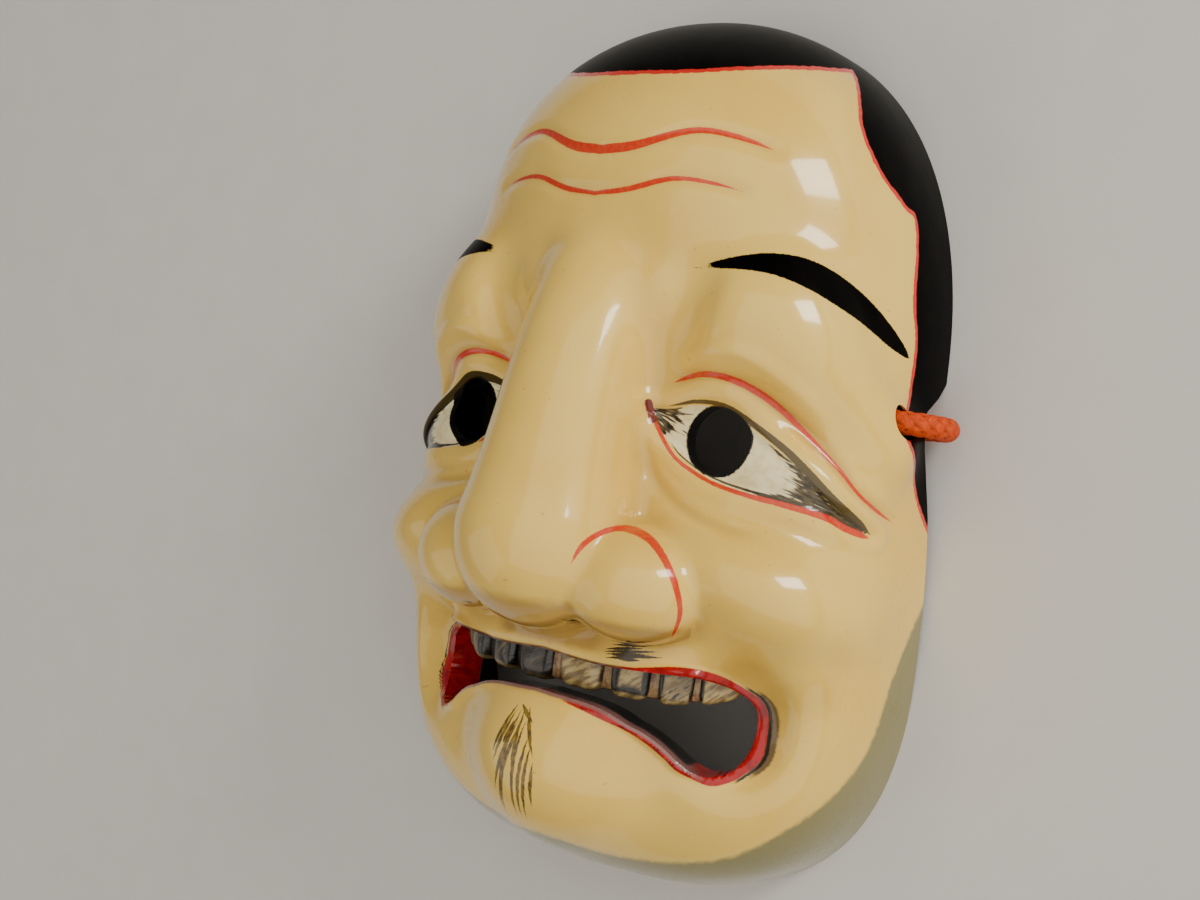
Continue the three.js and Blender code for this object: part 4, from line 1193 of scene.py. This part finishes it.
# ---- stage ----
def soft_light(name, turn, rise, distance, size, power, tint):
    """An area light in a direction from the face: turned from its front, and raised towards the crown."""
    data = bpy.data.lights.new(name, "AREA")
    data.shape = "RECTANGLE"
    data.size, data.size_y = size
    data.energy = power
    data.color = tint
    light = bpy.data.objects.new(name, data)
    turn, rise = math.radians(turn), math.radians(rise)
    light.location = (distance * math.sin(turn) * math.cos(rise), distance * math.sin(rise),
                      distance * math.cos(turn) * math.cos(rise) + LIT_HEIGHT)
    light.rotation_euler = (Vector((0, 0, LIT_HEIGHT)) - light.location).to_track_quat("-Z", "Y").to_euler()
    bpy.context.scene.collection.objects.link(light)


def place_camera(settings):
    """The photograph's viewpoint: in front of the face and to its right, with a slight roll."""
    yaw, roll = math.radians(settings.yaw), math.radians(settings.roll)
    back = Vector((math.sin(yaw), 0, math.cos(yaw)))
    right = Vector((math.cos(yaw), 0, -math.sin(yaw)))
    up = back.cross(right)
    axis_x = math.cos(roll) * right + math.sin(roll) * up
    axis_y = back.cross(axis_x)
    data = bpy.data.cameras.new("camera")
    data.lens = settings.lens
    data.sensor_width = 36.0
    data.clip_start = 0.01
    camera = bpy.data.objects.new("camera", data)
    matrix = Matrix((axis_x, axis_y, back)).transposed().to_4x4()
    matrix.translation = Vector(to_part(CAMERA_GOAL)) + back * settings.distance
    camera.matrix_world = matrix
    bpy.context.scene.collection.objects.link(camera)
    bpy.context.scene.camera = camera


def build_stage(settings):
    """The camera, the round paper floor, the lights and the studio's own light."""
    place_camera(settings)
    turn = np.linspace(0, 2 * math.pi, 96, endpoint=False)
    points = np.stack([FLOOR_RADIUS * np.cos(turn), FLOOR_RADIUS * np.sin(turn), 0 * turn], -1)
    floor = new_mesh("floor", points, [list(range(len(turn)))])
    floor.data.materials.append(new_material("paper", paper))
    for *place, share, tint in LIGHTS:
        soft_light(*place, settings.key_power * share, tint)
    world = bpy.data.worlds.new("studio")
    bpy.context.scene.world = world
    world.use_nodes = True
    background = world.node_tree.nodes["Background"]
    for socket, value in zip(background.inputs, STUDIO):
        socket.default_value = value


# ---- add-on ----
class MaskSettings(bpy.types.PropertyGroup):
    columns: IntProperty(name="Columns", description="Columns of the carved grid", default=250, min=60, max=400)
    rows: IntProperty(name="Rows", description="Rows of the carved grid", default=320, min=60, max=500)
    edge_radius: FloatProperty(name="Mouth edge", description="How far the edge of the mouth is rounded, in mm",
                               default=1.8, min=0.0, max=4.0)
    ground: FloatVectorProperty(name="Ground", description="Colour of the painted ground", subtype="COLOR",
                                size=4, min=0.0, max=1.0, default=CREAM)
    line_red: FloatVectorProperty(name="Red lines", description="Colour of the red brush lines", subtype="COLOR",
                                  size=4, min=0.0, max=1.0, default=RED)
    lip_red: FloatVectorProperty(name="Lips", description="Colour of the lips", subtype="COLOR",
                                 size=4, min=0.0, max=1.0, default=LIP_RED)


class TeethSettings(bpy.types.PropertyGroup):
    seed: IntProperty(name="Seed", description="Seed of the small differences between teeth", default=5)


class CordSettings(bpy.types.PropertyGroup):
    strands: IntProperty(name="Strands", description="Strands that run each way round the cord", default=4)
    braid_pitch: FloatProperty(name="Braid pitch", description="Length of one turn of a strand, in mm",
                               default=13.0, min=4.0, max=40.0)
    orange: FloatVectorProperty(name="Cord", description="Colour of the cord's bright threads", subtype="COLOR",
                                size=4, min=0.0, max=1.0, default=ORANGE)


class StageSettings(bpy.types.PropertyGroup):
    yaw: FloatProperty(name="Yaw", description="Turn of the camera round the face, in degrees", default=37.0)
    roll: FloatProperty(name="Roll", description="Roll of the camera, in degrees", default=8.2)
    lens: FloatProperty(name="Lens", description="Focal length of the camera, in mm", default=48.0, min=10.0)
    distance: FloatProperty(name="Distance", description="Distance from the camera to the rim's plane",
                            default=0.471, unit="LENGTH")
    key_power: FloatProperty(name="Key power", description="Power of the window light, in watts", default=14.0)


class MASK_OT_stage(bpy.types.Operator):
    """Place the camera, the floor and the lights"""
    bl_idname = "kagura.stage"
    bl_label = "Stage"

    def execute(self, context):
        build_stage(context.scene.kagura_stage)
        return {"FINISHED"}


class MASK_OT_cords(bpy.types.Operator):
    """Braid the two tie cords and their knots"""
    bl_idname = "kagura.cords"
    bl_label = "Tie cords"

    def execute(self, context):
        for side in (1, -1):
            build_cord(side, context.scene.kagura_cords)
        return {"FINISHED"}


class MASK_OT_shell(bpy.types.Operator):
    """Carve and paint the shell of the mask"""
    bl_idname = "kagura.shell"
    bl_label = "Carved shell"

    def execute(self, context):
        settings = context.scene.kagura_shell
        piece = carve_shell(settings)
        measure_paint(piece)
        tints = (settings.ground, settings.line_red, settings.lip_red)
        piece.data.materials.clear()
        piece.data.materials.append(new_material("lacquer", lacquer, *tints))
        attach(piece, "root")
        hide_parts("mask")
        return {"FINISHED"}


class MASK_OT_teeth(bpy.types.Operator):
    """Carve and paint the upper row of teeth"""
    bl_idname = "kagura.teeth"
    bl_label = "Teeth"

    def execute(self, context):
        piece = build_teeth(context.scene.kagura_teeth.seed)
        piece.data.materials.append(new_material("tooth_paint", tooth_paint))
        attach(piece, "root")
        return {"FINISHED"}


class MASK_PT_panel(bpy.types.Panel):
    """Sizes and steps of the mask"""
    bl_idname = "MASK_PT_panel"
    bl_label = "Kagura mask"
    bl_space_type = "VIEW_3D"
    bl_region_type = "UI"
    bl_category = "Mask"

    def draw(self, context):
        scene = context.scene
        for group in (scene.kagura_shell, scene.kagura_teeth, scene.kagura_cords, scene.kagura_stage):
            for name in group.bl_rna.properties.keys():
                if name not in ("rna_type", "name"):
                    self.layout.prop(group, name)
        for step in STEPS:
            self.layout.operator(f"kagura.{step}")


STEPS = ("stage", "cords", "shell", "teeth")
GROUPS = {"kagura_shell": MaskSettings, "kagura_teeth": TeethSettings, "kagura_cords": CordSettings,
          "kagura_stage": StageSettings}
CLASSES = (*GROUPS.values(), MASK_OT_stage, MASK_OT_cords, MASK_OT_shell, MASK_OT_teeth, MASK_PT_panel)


def register():
    for item in CLASSES:
        bpy.utils.register_class(item)
    for name, group in GROUPS.items():
        setattr(bpy.types.Scene, name, PointerProperty(type=group))


def unregister():
    for name in GROUPS:
        delattr(bpy.types.Scene, name)
    for item in reversed(CLASSES):
        bpy.utils.unregister_class(item)


def main():
    register()
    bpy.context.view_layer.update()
    for step in STEPS:
        getattr(bpy.ops.kagura, step)()


if __name__ == "__main__":
    main()
